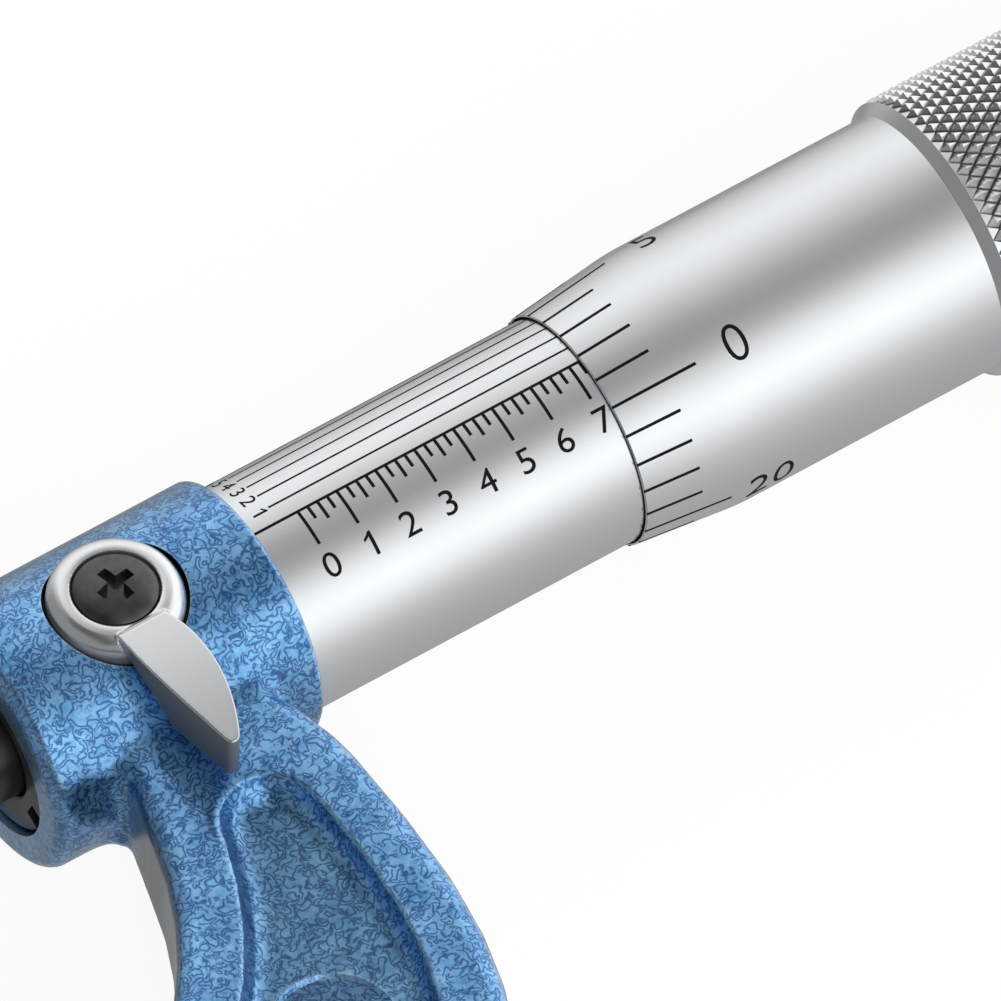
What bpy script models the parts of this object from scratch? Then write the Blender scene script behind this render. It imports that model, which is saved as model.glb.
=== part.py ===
"""Outside micrometer, 0 to 1 inch, with a lever lock and a ratchet stop.

The frame of reference: +X runs along the spindle from the anvil to the ratchet, +Z is up and out of
the front face, and the throat opens towards -Y. The origin is the middle of the anvil's measuring face.
"""

from math import asin, cos, degrees, pi, radians, sin

import bmesh
import bpy
from mathutils import Matrix, Vector

MM = 0.001

# Measuring range
CAPACITY = 25.4 * MM  # travel of the spindle
OPENING = 18.47 * MM  # gap between the measuring faces at rest, a reading of 0.727 in
SPINDLE_RADIUS = 3.175 * MM
TIP_LENGTH = 1.4 * MM  # carbide tips of the anvil and the spindle
TIP_CHAMFER = 0.15 * MM

# Clearances
FIT_GAP = 0.10 * MM  # between pieces that are pressed or screwed together
RUN_GAP = 0.15 * MM  # between pieces that turn or slide

# Cast frame
FRAME_THICKNESS = 8.0 * MM
FRAME_EDGE_ROUND = 1.0 * MM
THROAT_DEPTH = 28.5 * MM  # from the spindle's axis to the bottom of the throat
THROAT_SHOULDER = 6.0 * MM  # below the axis, where the throat starts to curve in
THROAT_FILLET = 0.6 * MM  # where the throat meets the barrel
FRAME_DEPTH = 46.0 * MM  # from the axis to the bottom edge
FRAME_SHOULDER = 17.8 * MM  # below the axis, where the frame is widest
FRAME_RISE = 27.5 * MM  # of the outer curve above its widest place, cut off by the arms' tops
ARM_TOP = 0.5 * MM  # below the axis, inside the barrel and the boss
FRAME_SQUARENESS = 2.5  # exponent of the outer curve, 2 for an ellipse
ARM_WIDTH = 10.9 * MM
PANEL_RIM = 3.7 * MM  # width of the rim round the recessed panels
PANEL_DEPTH = 1.8 * MM
PANEL_TOP = 14.6 * MM  # below the axis, centre of the panel's round ends
PANEL_FLOOR_ROUND = 0.9 * MM
DISC_RADIUS = 3.6 * MM  # bare round recess in the front panel
DISC_DEPTH = 0.5 * MM
DISC_ACROSS = 0.6684  # place of its middle, as a share of the outer curve's half width
DISC_DOWN = 0.3316  # and of the curve's depth below the frame's shoulder

# Barrel of the frame, which carries the spindle
BARREL_WALL = 2.0 * MM  # round the main bore
BARREL_LENGTH = 17.2 * MM
NOSE_ROUND = 0.6 * MM
BARREL_END_ROUND = 0.5 * MM
SPINDLE_STANDOUT = 4.5 * MM  # tip to barrel when fully open
THROAT_INSET = 4.2 * MM  # from the barrel's nose to the edge of the throat
NOSE_BORE_RADIUS = 5.5 * MM
NOSE_BORE_DEPTH = 3.2 * MM
NOSE_WALL = 2.4 * MM  # between the nose bore and the main bore

# Anvil end of the frame
ANVIL_BOSS_RADIUS = 6.3 * MM
ANVIL_BOSS_LENGTH = 10.0 * MM
ANVIL_BOSS_ROUND = 2.0 * MM
ANVIL_STANDOUT = 4.2 * MM  # anvil face to boss
ANVIL_SEAT = 8.0 * MM  # length of the anvil held in the boss
ANVIL_ARM_SETBACK = 5.5 * MM  # anvil face to the edge of the throat

# Gland in the nose of the barrel
GLAND_RECESS = 0.4 * MM
GLAND_THICKNESS = 1.6 * MM
GLAND_SLOTS = 4
GLAND_SLOT_TURN = 22.5  # degrees from the crown to the first slot
GLAND_SLOT_WIDTH = 1.3 * MM
GLAND_SLOT_DEPTH = 0.6 * MM
GLAND_SLOT_LENGTH = 1.2 * MM  # inwards from the rim
GLAND_EDGE = 0.25 * MM
SEAL_THICKNESS = 0.9 * MM

# Lock lever on top of the barrel, and the split collar that it closes
LOCK_INSET = 8.48 * MM  # barrel nose to the lever's axis
COLLAR_LENGTH = 5.6 * MM
COLLAR_SLIT = 2.4 * MM
STUD_RADIUS = 1.8 * MM
STUD_REACH = 0.75 * MM  # how far the stud reaches into the main bore
CAM_CLEARANCE = 0.475 * MM  # from the spindle's bore to the cam
CAM_HALF_WIDTH = 0.7 * MM
CAM_HALF_HEIGHT = 1.0 * MM
STUD_SQUARE = 2.4 * MM
STUD_SQUARE_HEIGHT = 0.95 * MM
LEVER_SEAT_DEPTH = 1.4 * MM  # flat cut into the crown of the barrel
LEVER_SEAT_MARGIN = 0.15 * MM
WASHER_THICKNESS = 0.3 * MM
WASHER_RADIUS = 3.0 * MM
LEVER_RING_RADIUS = 3.85 * MM
LEVER_HEIGHT = 2.2 * MM
LEVER_RING_ROUND = 1.0 * MM
LEVER_LENGTH = 12.0 * MM
LEVER_TAIL_DROP = 1.2 * MM  # how far the tail hangs below the ring's underside
LEVER_ARCH_CLEARANCE = 0.85 * MM  # between the barrel and the hollow under the tail
LEVER_ARCH_DROP = 0.45 * MM
LEVER_SWING = 30  # degrees
LEVER_TAIL_LEFT = 1.6 * MM  # half widths of the tail at the ring
LEVER_TAIL_RIGHT = 1.9 * MM
LEVER_TAIL_BULGE = 2.5 * MM
LEVER_TAIL_LEAN = 0.15 * MM  # tip to the right of the ring's centre
LEVER_TAIL_ROOT = 0.55  # share of the ring's radius where the tail starts
LEVER_EDGE = 0.2 * MM
LOCK_HEAD_RADIUS = 2.45 * MM
LOCK_HEAD_EDGE = 0.75 * MM
LOCK_HEAD_DOME = 0.35 * MM
LOCK_SHANK_RADIUS = 0.75 * MM
CROSS_WIDTH = 0.62 * MM
CROSS_SPAN = 2.3 * MM
CROSS_DEPTH = 0.6 * MM
CROSS_TURN = 12  # degrees
DOME_POLE = 0.05 * MM  # small flat on top of the dome
LOCK_HEAD_SINK = 0.85 * MM  # depth of the head's pocket in the lever

# Sleeves
SLEEVE_RADIUS = 6.84 * MM
SLEEVE_WALL = 1.09 * MM  # from the scales to the main bore of the barrel
SLEEVE_LEAD = 3.0 * MM  # barrel to the zero line
SLEEVE_COVER = 4.5 * MM  # left under the thimble when fully open
SLEEVE_HOLE_RADIUS = 0.8 * MM  # for the wrench that turns the sleeve to zero
SLEEVE_HOLE_INSET = 3.2 * MM
NUT_THREAD_LENGTH = 12.0 * MM
TAIL_STEP = 0.8 * MM  # the slotted tail below the rest of the inner sleeve
TAIL_LENGTH = 6.5 * MM
TAIL_SLOTS = 3
TAIL_SLOT_WIDTH = 0.8 * MM
ADJUSTER_STEP = 0.54 * MM  # the nut below the graduated sleeve
ADJUSTER_LENGTH = 4.0 * MM
ADJUSTER_SLOTS = 4
ADJUSTER_SLOT_WIDTH = 1.6 * MM
ADJUSTER_SLOT_DEPTH = 0.8 * MM

# Spindle behind its plain part
THREAD_RADIUS = 3.0 * MM
THREAD_RELIEF = 2.0 * MM  # from the end of the plain part to the thimble's edge
CONE_LENGTH = 4.5 * MM
CONE_END_RADIUS = 2.4 * MM
STEM_HOLE_RADIUS = 1.6 * MM

# Thimble
THIMBLE_GAP = 0.12 * MM  # round the sleeve
THIMBLE_LIP = 0.12 * MM  # wall at the front edge
BEVEL_LENGTH = 6.4 * MM
THIMBLE_RISE = 0.72 * MM  # from the front edge to the full radius
KNURL_START = 23.2 * MM
KNURL_LEAD = 0.65 * MM  # cone up to the knurled band
KNURL_STEP = 0.7 * MM  # the knurled band above the plain part
KNURL_CHAMFER = 0.45 * MM
KNURL_BACK = 3.0 * MM  # from the end of the knurl to the rear face
THIMBLE_BACK_STEP = 0.6 * MM  # the rear end below the plain part
THIMBLE_WEB = 5.5 * MM
WEB_CLEARANCE = 2.1 * MM  # left between the web and the inner sleeve when closed

# Ratchet stop
FLANGE_RADIUS = 4.4 * MM
FLANGE_THICKNESS = 1.5 * MM
TEETH = 12
TOOTH_HEIGHT = 0.5 * MM
STEM_RADIUS = 2.0 * MM
SHANK_RADIUS = 1.5 * MM
SHANK_LENGTH = 7.0 * MM
PAWL_THICKNESS = 2.2 * MM
PAWL_KEY_WIDTH = 1.3 * MM
PAWL_KEY_HEIGHT = 0.6 * MM
SPRING_LENGTH = 2.8 * MM
SPRING_RADIUS = 3.2 * MM
SPRING_WIRE_RADIUS = 0.26 * MM
SPRING_TURNS = 3
KNOB_RADIUS = 5.8 * MM
KNOB_SETBACK = 0.45 * MM  # thimble to knob
KNOB_WALL = 3.2 * MM
KNOB_SCREW_POCKET = 2.4 * MM
KNOB_CHAMFER = 0.7 * MM
KNOB_FLUTES = 30
KNOB_FLUTE_RADIUS = 0.38 * MM
END_SCREW_RADIUS = 2.9 * MM
END_SCREW_HEAD = 1.4 * MM
END_SCREW_SHANK_RADIUS = 0.9 * MM
END_SCREW_SHANK_LENGTH = 4.5 * MM
END_WASHER_RADIUS = 3.1 * MM
END_WASHER_THICKNESS = 0.4 * MM
SCREW_SLOT_WIDTH = 0.7 * MM
SCREW_SLOT_DEPTH = 0.6 * MM

FINE = 48  # sides of the large turned pieces
MEDIUM = 32
COARSE = 24
EDGE_CHAMFER = 0.3 * MM
OVERCUT = 0.5 * MM  # how far a cutter runs past the face that it cuts

# Stations along the axis, worked out from the sizes above
barrel_start = CAPACITY + SPINDLE_STANDOUT
barrel_end = barrel_start + BARREL_LENGTH
main_bore_start = barrel_start + NOSE_BORE_DEPTH + NOSE_WALL
lock_x = barrel_start + LOCK_INSET
inner_sleeve_start = lock_x + COLLAR_LENGTH / 2 + FIT_GAP
zero_x = barrel_end + SLEEVE_LEAD
sleeve_end = zero_x + CAPACITY + SLEEVE_COVER
tail_end = sleeve_end + TAIL_LENGTH
thimble_x = zero_x + OPENING
cavity_depth = tail_end - zero_x + WEB_CLEARANCE
thimble_length = cavity_depth + THIMBLE_WEB

# Radii that follow from their neighbours
barrel_bore_radius = SLEEVE_RADIUS - SLEEVE_WALL
barrel_radius = barrel_bore_radius + BARREL_WALL
lever_arch_radius = barrel_radius + LEVER_ARCH_CLEARANCE
inner_sleeve_radius = barrel_bore_radius - FIT_GAP
tail_radius = inner_sleeve_radius - TAIL_STEP
adjuster_radius = SLEEVE_RADIUS - ADJUSTER_STEP
spindle_bore_radius = SPINDLE_RADIUS + RUN_GAP
thread_bore_radius = THREAD_RADIUS + RUN_GAP
thimble_bore_radius = SLEEVE_RADIUS + THIMBLE_GAP
thimble_edge_radius = thimble_bore_radius + THIMBLE_LIP
thimble_radius = thimble_edge_radius + THIMBLE_RISE
knurl_radius = thimble_radius + KNURL_STEP
thimble_back_radius = thimble_radius - THIMBLE_BACK_STEP

# Heights of the lock above the axis
lever_seat_z = barrel_radius - LEVER_SEAT_DEPTH
stud_bottom = barrel_bore_radius - STUD_REACH
cam_bottom = spindle_bore_radius + CAM_CLEARANCE
washer_z = lever_seat_z + FIT_GAP
lever_z = lever_seat_z + FIT_GAP
washer_pocket_z = washer_z + WASHER_THICKNESS + FIT_GAP
lever_top_z = lever_z + LEVER_HEIGHT
lock_floor_z = lever_top_z - LOCK_HEAD_SINK

# Outline of the frame
throat_left = -ANVIL_ARM_SETBACK
throat_right = barrel_start + THROAT_INSET
frame_centre_x = (throat_left + throat_right) / 2
throat_half_width = (throat_right - throat_left) / 2
frame_half_width = throat_half_width + ARM_WIDTH


def start_scene():
    """Empty the scene and make the two collections."""
    for obj in list(bpy.data.objects):
        bpy.data.objects.remove(obj, do_unlink=True)
    parts = bpy.data.collections.new("outside_micrometer")
    cutters = bpy.data.collections.new("cutters")
    for collection in (parts, cutters):
        bpy.context.scene.collection.children.link(collection)
    return parts, cutters


PARTS, CUTTERS = start_scene()


def make_material(name, colour, roughness, metallic):
    material = bpy.data.materials.new(name)
    material.use_nodes = True
    shader = material.node_tree.nodes["Principled BSDF"]
    shader.inputs["Base Color"].default_value = (*colour, 1.0)
    shader.inputs["Roughness"].default_value = roughness
    shader.inputs["Metallic"].default_value = metallic
    return material


BLUE_ENAMEL = ((0.12, 0.32, 0.62), 0.35, 0.0)
SATIN_CHROME = ((0.72, 0.73, 0.75), 0.30, 1.0)
POLISHED_STEEL = ((0.62, 0.62, 0.63), 0.22, 1.0)
BLACK_STEEL = ((0.03, 0.03, 0.032), 0.35, 0.6)
CARBIDE = ((0.30, 0.31, 0.32), 0.25, 1.0)
FELT = ((0.25, 0.24, 0.22), 0.95, 0.0)
SPRING_STEEL = ((0.45, 0.45, 0.46), 0.30, 1.0)


def add_object(name, mesh, finish=None):
    """A named piece with its own material, or a cutter when it has no finish."""
    obj = bpy.data.objects.new(name, mesh)
    if finish is None:
        CUTTERS.objects.link(obj)
        obj.hide_render = True
        obj.display_type = "WIRE"
    else:
        PARTS.objects.link(obj)
        mesh.materials.append(make_material(name, *finish))
    return obj


def arc(centre, radius, start, end, steps):
    """Points on an arc in a profile or an outline, angles in degrees."""
    angles = (radians(start + (end - start) * i / steps) for i in range(steps + 1))
    return [(centre[0] + radius * cos(a), centre[1] + radius * sin(a)) for a in angles]


def turned(name, outer, bore=(), finish=None, sides=MEDIUM):
    """A piece turned round its own X axis.

    outer and bore list (x, radius) from the front to the rear. A bore that starts at radius 0 is a
    blind hole from the rear, and no bore makes a solid piece.
    """
    chain = list(bore) if bore else [(outer[-1][0], 0.0)]
    chain += reversed(outer)
    through = bool(bore) and bore[0][1] > 0
    if not through:
        chain.append((outer[0][0], 0.0))
    mesh = bpy.data.meshes.new(name)
    edges = [(i, i + 1) for i in range(len(chain) - 1)]
    if through:
        edges.append((len(chain) - 1, 0))
    mesh.from_pydata([(r, 0.0, x) for x, r in chain], edges, [])
    obj = add_object(name, mesh, finish)
    screw = obj.modifiers.new("Turn", "SCREW")
    screw.steps = sides
    screw.render_steps = sides
    screw.use_merge_vertices = True
    screw.merge_threshold = 1e-6
    obj.rotation_euler = (0.0, radians(90), 0.0)
    return obj


def cylinder(name, radius, start, end, axis="X", centre=(0.0, 0.0), sides=COARSE, finish=None):
    """A cylinder along X at (y, z), or along Z at (x, y)."""
    mesh = bpy.data.meshes.new(name)
    bm = bmesh.new()
    bmesh.ops.create_cone(
        bm, cap_ends=True, segments=sides, radius1=radius, radius2=radius, depth=end - start
    )
    middle = (start + end) / 2
    if axis == "X":
        turn = Matrix.Rotation(radians(90), 4, "Y")
        place = Matrix.Translation((middle, centre[0], centre[1]))
    else:
        turn = Matrix.Identity(4)
        place = Matrix.Translation((centre[0], centre[1], middle))
    bmesh.ops.transform(bm, matrix=place @ turn, verts=bm.verts)
    bm.to_mesh(mesh)
    bm.free()
    return add_object(name, mesh, finish)


def box(name, low, high, turn=0.0, finish=None):
    """A box between two corners, then turned about the X axis by an angle in degrees."""
    mesh = bpy.data.meshes.new(name)
    bm = bmesh.new()
    bmesh.ops.create_cube(bm, size=1.0)
    low, high = Vector(low), Vector(high)
    size = high - low
    place = Matrix.Rotation(radians(turn), 4, "X") @ Matrix.Translation((low + high) / 2)
    bmesh.ops.transform(bm, matrix=place @ Matrix.Diagonal((*size, 1.0)), verts=bm.verts)
    bm.to_mesh(mesh)
    bm.free()
    return add_object(name, mesh, finish)


def joined(name, pieces):
    """Several cutters that don't meet, joined into one."""
    bm = bmesh.new()
    for piece in pieces:
        bm.from_mesh(piece.data)
        bpy.data.objects.remove(piece, do_unlink=True)
    mesh = bpy.data.meshes.new(name)
    bm.to_mesh(mesh)
    bm.free()
    return add_object(name, mesh)


def combine(target, other, operation="DIFFERENCE", solver="EXACT"):
    """Cut, join or intersect the target with another shape."""
    modifier = target.modifiers.new(other.name, "BOOLEAN")
    modifier.operation = operation
    modifier.object = other
    modifier.solver = solver
    return target


def combine_all(target, others, operation="DIFFERENCE"):
    """The same with several shapes at once, which may meet each other."""
    group = bpy.data.collections.new(f"{target.name}_{operation.lower()}")
    CUTTERS.children.link(group)
    for other in others:
        CUTTERS.objects.unlink(other)
        group.objects.link(other)
    modifier = target.modifiers.new(group.name, "BOOLEAN")
    modifier.operation = operation
    modifier.operand_type = "COLLECTION"
    modifier.collection = group
    modifier.solver = "MANIFOLD"
    return target


def plate(name, outline, low, high, edge_round=0.0, finish=None, round_steps=2):
    """A flat outline in XY made solid between two heights, its edges rounded inside the outline."""
    curve = bpy.data.curves.new(name, "CURVE")
    curve.dimensions = "2D"
    curve.fill_mode = "BOTH"
    curve.extrude = (high - low) / 2 - edge_round
    curve.bevel_depth = edge_round
    curve.bevel_resolution = round_steps
    curve.offset = -edge_round
    spline = curve.splines.new("POLY")
    spline.points.add(len(outline) - 1)
    for point, (x, y) in zip(spline.points, outline):
        point.co = (x, y, 0.0, 1.0)
    spline.use_cyclic_u = True
    return curve_to_mesh(name, curve, Matrix.Translation((0, 0, (low + high) / 2)), finish)


def curve_to_mesh(name, curve, matrix, finish):
    """The mesh of a curve, with its caps welded on."""
    guide = bpy.data.objects.new(name + "_curve", curve)
    bpy.context.scene.collection.objects.link(guide)
    depsgraph = bpy.context.evaluated_depsgraph_get()
    mesh = bpy.data.meshes.new_from_object(guide.evaluated_get(depsgraph))
    mesh.name = name
    bm = bmesh.new()
    bm.from_mesh(mesh)
    bmesh.ops.remove_doubles(bm, verts=bm.verts, dist=1e-7)
    bmesh.ops.transform(bm, matrix=matrix, verts=bm.verts)
    bmesh.ops.recalc_face_normals(bm, faces=bm.faces)
    bm.to_mesh(mesh)
    bm.free()
    bpy.data.objects.remove(guide, do_unlink=True)
    return add_object(name, mesh, finish)


def moving_group(name, location):
    """An empty on a joint's axis, which carries the pieces that move together."""
    empty = bpy.data.objects.new(name, None)
    empty.location = location
    PARTS.objects.link(empty)
    return empty


def carry(empty, *pieces):
    """Parent pieces that are already in place."""
    for piece in pieces:
        piece.parent = empty
        piece.matrix_parent_inverse = Matrix.Translation(-empty.location)
    return pieces[0]


def oval_point(size, exponent, angle):
    """A point on a rounded curve about the frame's middle: an ellipse made squarer by its exponent.

    size holds the half width, how far the widest place is below the axis, the depth of the curve's
    bottom below the axis, and the height of its upper half above the widest place.
    """
    half_width, shoulder, depth, rise = size
    c, s = cos(radians(angle)), sin(radians(angle))
    across = half_width * abs(c) ** (2 / exponent)
    up = (rise if s > 0 else shoulder - depth) * abs(s) ** (2 / exponent)
    return frame_centre_x + (across if c > 0 else -across), up - shoulder


def oval(size, exponent, below, steps):
    """That curve from the right arm round the bottom to the left arm, starting below the axis."""
    _, shoulder, depth, rise = size
    above = shoulder - below
    share = above / (rise if above > 0 else depth - shoulder)
    lean = degrees(asin(abs(share) ** (exponent / 2)))
    start = lean if above > 0 else -lean
    turn = -180 - 2 * start
    return [oval_point(size, exponent, start + turn * i / steps) for i in range(steps + 1)]


def frame_outline():
    """The C of the frame, with its arms ending inside the barrel and the anvil boss."""
    outer_size = (frame_half_width, FRAME_SHOULDER, FRAME_DEPTH, FRAME_RISE)
    inner_size = (throat_half_width, THROAT_SHOULDER, THROAT_DEPTH, THROAT_SHOULDER)
    outer = oval(outer_size, FRAME_SQUARENESS, ARM_TOP, 36)
    inner = oval(inner_size, 2, THROAT_SHOULDER, 24)
    underside = -barrel_radius
    fillet = arc(
        (throat_right - THROAT_FILLET, underside - THROAT_FILLET), THROAT_FILLET, 90, 20, 4
    )
    below_fillet = [point for point in inner if point[1] < fillet[-1][1]]
    anvil_side = [(throat_left, -ARM_TOP)]
    barrel_side = [(fillet[0][0], -ARM_TOP)]
    return outer + anvil_side + below_fillet[::-1] + fillet[::-1] + barrel_side


def panel_outline():
    """The recessed panel, which follows both edges of the C and has a round end on each arm."""
    top = PANEL_TOP
    rim = PANEL_RIM
    outer_size = (frame_half_width - rim, FRAME_SHOULDER, FRAME_DEPTH - rim, FRAME_RISE - rim)
    inner_size = (throat_half_width + rim, THROAT_SHOULDER, THROAT_DEPTH + rim, THROAT_SHOULDER)
    outer = oval(outer_size, FRAME_SQUARENESS, top, 28)
    inner = oval(inner_size, 2, top, 20)[::-1]
    return outer + round_end(outer[-1], inner[0]) + inner + round_end(inner[-1], outer[0])


def round_end(first, last):
    """The points of a half circle from one point to another, turning clockwise, ends left out."""
    middle = (Vector(first) + Vector(last)) / 2
    arm = Vector(first) - middle
    turned_arms = (Matrix.Rotation(-pi * i / 6, 2) @ arm for i in range(1, 6))
    return [tuple(middle + turned_arm) for turned_arm in turned_arms]


def make_frame():
    """The cast frame: a C with a barrel for the spindle and a boss for the anvil."""
    half = FRAME_THICKNESS / 2
    frame = plate("frame", frame_outline(), -half, half, FRAME_EDGE_ROUND, BLUE_ENAMEL, 1)
    combine_all(frame, [barrel_form(), anvil_boss_form()], "UNION")
    cuts = [barrel_bores(), anvil_hole(), *lever_seat(), *panel_recesses()]
    return combine_all(frame, cuts)


def barrel_form():
    """The outside of the barrel, with both ends rounded."""
    edge = NOSE_ROUND
    nose = arc((barrel_start + edge, barrel_radius - edge), edge, 180, 90, 3)
    edge = BARREL_END_ROUND
    rear = arc((barrel_end - edge, barrel_radius - edge), edge, 90, 0, 3)
    return turned("barrel_form", nose + rear, sides=FINE)


def anvil_boss_form():
    """The outside of the boss that holds the anvil."""
    front = -ANVIL_STANDOUT
    back = front - ANVIL_BOSS_LENGTH
    edge = ANVIL_BOSS_ROUND
    lip = edge / 3
    outer = arc((back + edge, ANVIL_BOSS_RADIUS - edge), edge, 180, 90, 3)
    outer += [(front - lip, ANVIL_BOSS_RADIUS), (front, ANVIL_BOSS_RADIUS - lip)]
    return turned("anvil_boss_form", outer)


def barrel_bores():
    """The bores through the barrel: the nose, the hole for the spindle and the main bore."""
    nose_floor = barrel_start + NOSE_BORE_DEPTH
    through_radius = spindle_bore_radius + RUN_GAP
    bores = [
        (barrel_start - OVERCUT, NOSE_BORE_RADIUS),
        (nose_floor, NOSE_BORE_RADIUS),
        (nose_floor, through_radius),
        (main_bore_start, through_radius),
        (main_bore_start, barrel_bore_radius),
        (barrel_end + OVERCUT, barrel_bore_radius),
    ]
    return turned("barrel_bores", bores, sides=COARSE)


def anvil_hole():
    start = -ANVIL_STANDOUT - ANVIL_SEAT - FIT_GAP
    radius = SPINDLE_RADIUS + FIT_GAP
    return turned("anvil_hole", [(start, radius), (-ANVIL_STANDOUT + OVERCUT, radius)])


def lever_seat():
    """The flat seat for the lever in the crown of the barrel, and the hole for its stud."""
    above = barrel_radius + OVERCUT
    place = ("Z", (lock_x, 0))
    seat_radius = LEVER_RING_RADIUS + LEVER_SEAT_MARGIN
    seat = cylinder("lever_seat", seat_radius, lever_seat_z, above, *place, MEDIUM)
    hole = cylinder("stud_hole", STUD_RADIUS + RUN_GAP, SPINDLE_RADIUS, above, *place)
    return seat, hole


def panel_recesses():
    """The recessed panels on both faces, and the bare round recess in the front one."""
    half = FRAME_THICKNESS / 2
    floor = half - PANEL_DEPTH
    beyond = half + PANEL_FLOOR_ROUND + OVERCUT
    outline = panel_outline()
    front = plate("front_panel", outline, floor, beyond, PANEL_FLOOR_ROUND, round_steps=1)
    back = plate("back_panel", outline, -beyond, -floor, PANEL_FLOOR_ROUND, round_steps=1)
    centre_x = frame_centre_x + DISC_ACROSS * frame_half_width
    centre = (centre_x, -FRAME_SHOULDER - DISC_DOWN * (FRAME_DEPTH - FRAME_SHOULDER))
    disc = cylinder("disc_recess", DISC_RADIUS, floor - DISC_DEPTH, half, "Z", centre, MEDIUM)
    return front, back, disc


def make_anvil():
    """The anvil pressed into its boss, and its carbide tip."""
    back = -ANVIL_STANDOUT - ANVIL_SEAT
    body = [(back, SPINDLE_RADIUS), (-TIP_LENGTH - FIT_GAP, SPINDLE_RADIUS)]
    turned("anvil", body, finish=POLISHED_STEEL)
    make_tip("anvil_tip", 0.0, -1)


def make_tip(name, face, direction):
    """A carbide tip whose measuring face stands at one place on the axis."""
    radius = SPINDLE_RADIUS
    profile = [
        (face, radius - TIP_CHAMFER),
        (face + direction * TIP_CHAMFER, radius),
        (face + direction * TIP_LENGTH, radius),
    ]
    return turned(name, sorted(profile), finish=CARBIDE)


def make_gland():
    """The slotted gland screwed into the nose of the barrel, and the felt ring behind it."""
    start = barrel_start + GLAND_RECESS
    end = start + GLAND_THICKNESS
    outer = NOSE_BORE_RADIUS - FIT_GAP
    inner = spindle_bore_radius
    rim = GLAND_EDGE
    body = [(start, outer - rim), (start + rim, outer), (end, outer)]
    hole = [(start, inner + rim), (start + rim, inner), (end, inner)]
    gland = turned("spindle_gland", body, hole, BLACK_STEEL)
    slots = []
    for i in range(GLAND_SLOTS):
        low = (start - OVERCUT, -GLAND_SLOT_WIDTH / 2, outer - GLAND_SLOT_LENGTH)
        high = (start + GLAND_SLOT_DEPTH, GLAND_SLOT_WIDTH / 2, outer + OVERCUT)
        slots.append(box("slot", low, high, GLAND_SLOT_TURN + 360 * i / GLAND_SLOTS))
    combine(gland, joined("gland_slots", slots))

    start = end + FIT_GAP
    end = start + SEAL_THICKNESS
    turned("spindle_seal", [(start, outer), (end, outer)], [(start, inner), (end, inner)], FELT)


def make_collar():
    """The split collar inside the barrel, which the lever's cam closes on the spindle."""
    start, end = lock_x - COLLAR_LENGTH / 2, lock_x + COLLAR_LENGTH / 2
    outer, inner = barrel_bore_radius - RUN_GAP, spindle_bore_radius
    ring = [(start, outer), (end, outer)], [(start, inner), (end, inner)]
    collar = turned("clamp_collar", *ring, POLISHED_STEEL)
    half = COLLAR_SLIT / 2
    slit = box("collar_slit", (start - OVERCUT, -half, 0), (end + OVERCUT, half, outer + OVERCUT))
    combine(collar, slit)
    pocket_radius = STUD_RADIUS + RUN_GAP
    low = stud_bottom - RUN_GAP
    pocket = cylinder("stud_pocket", pocket_radius, low, outer + OVERCUT, "Z", (lock_x, 0))
    combine(collar, pocket)


def make_lock():
    """The lever, its screw, its washer and the cam stud, which turn together about Z."""
    group = moving_group("lever_axis", (lock_x, 0, 0))
    carry(group, make_stud(), make_lever(), make_lock_screw(), make_lock_washer())


def make_stud():
    """The stud: a cam below, a round journal in the barrel and a square in the lever."""
    journal_top = washer_pocket_z
    stud = cylinder(
        "lock_stud", STUD_RADIUS, stud_bottom, journal_top, "Z", (lock_x, 0), finish=POLISHED_STEEL
    )
    half = STUD_SQUARE / 2
    low = (lock_x - half, -half, journal_top - OVERCUT)
    high = (lock_x + half, half, journal_top + STUD_SQUARE_HEIGHT)
    combine(stud, box("stud_square", low, high), "UNION")
    place = (cam_bottom, stud_bottom + OVERCUT)
    cam = cylinder("stud_cam", CAM_HALF_HEIGHT, *place, "Z")
    flatten = Matrix.Diagonal((CAM_HALF_WIDTH / CAM_HALF_HEIGHT, 1, 1, 1))
    squeeze = Matrix.Translation((lock_x, 0, 0)) @ flatten
    cam.data.transform(squeeze)
    combine(stud, cam, "UNION")
    hole_radius = LOCK_SHANK_RADIUS + FIT_GAP
    hole = cylinder("stud_hole_for_screw", hole_radius, stud_bottom, lever_top_z, "Z", (lock_x, 0))
    return combine(stud, hole)


def lever_tail_outline():
    """A leaf from inside the ring to its tip, nearly straight on the left and bowed on the right.

    The handles of its two curves are shares of the lever's length and of the tail's widths.
    """
    length = LEVER_LENGTH
    root = LEVER_RING_RADIUS * LEVER_TAIL_ROOT
    tip = Vector((LEVER_TAIL_LEAN, -length))
    left = Vector((-LEVER_TAIL_LEFT, -root))
    right = Vector((LEVER_TAIL_RIGHT, -root))
    left_handle = left + Vector((0.06 * LEVER_TAIL_LEFT, -0.45 * length))
    left_tip_handle = tip + Vector((-0.47 * LEVER_TAIL_LEFT, 0.12 * length))
    left_side = bezier(left, left_handle, left_tip_handle, tip, 7)
    bulge = LEVER_TAIL_BULGE - LEVER_TAIL_RIGHT
    right_handle = right + Vector((2.1 * bulge, -0.42 * length))
    right_tip_handle = tip + Vector((0.58 * LEVER_TAIL_RIGHT, 0.02 * length))
    right_side = bezier(tip, right_tip_handle, right_handle, right, 9)
    return [(lock_x + p.x, p.y) for p in left_side + right_side[1:]]


def bezier(p0, p1, p2, p3, steps):
    """Points on a cubic curve between two ends and two handles."""
    points = []
    for i in range(steps + 1):
        t = i / steps
        s = 1 - t
        points.append(s**3 * p0 + 3 * s * s * t * p1 + 3 * s * t * t * p2 + t**3 * p3)
    return points


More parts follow.
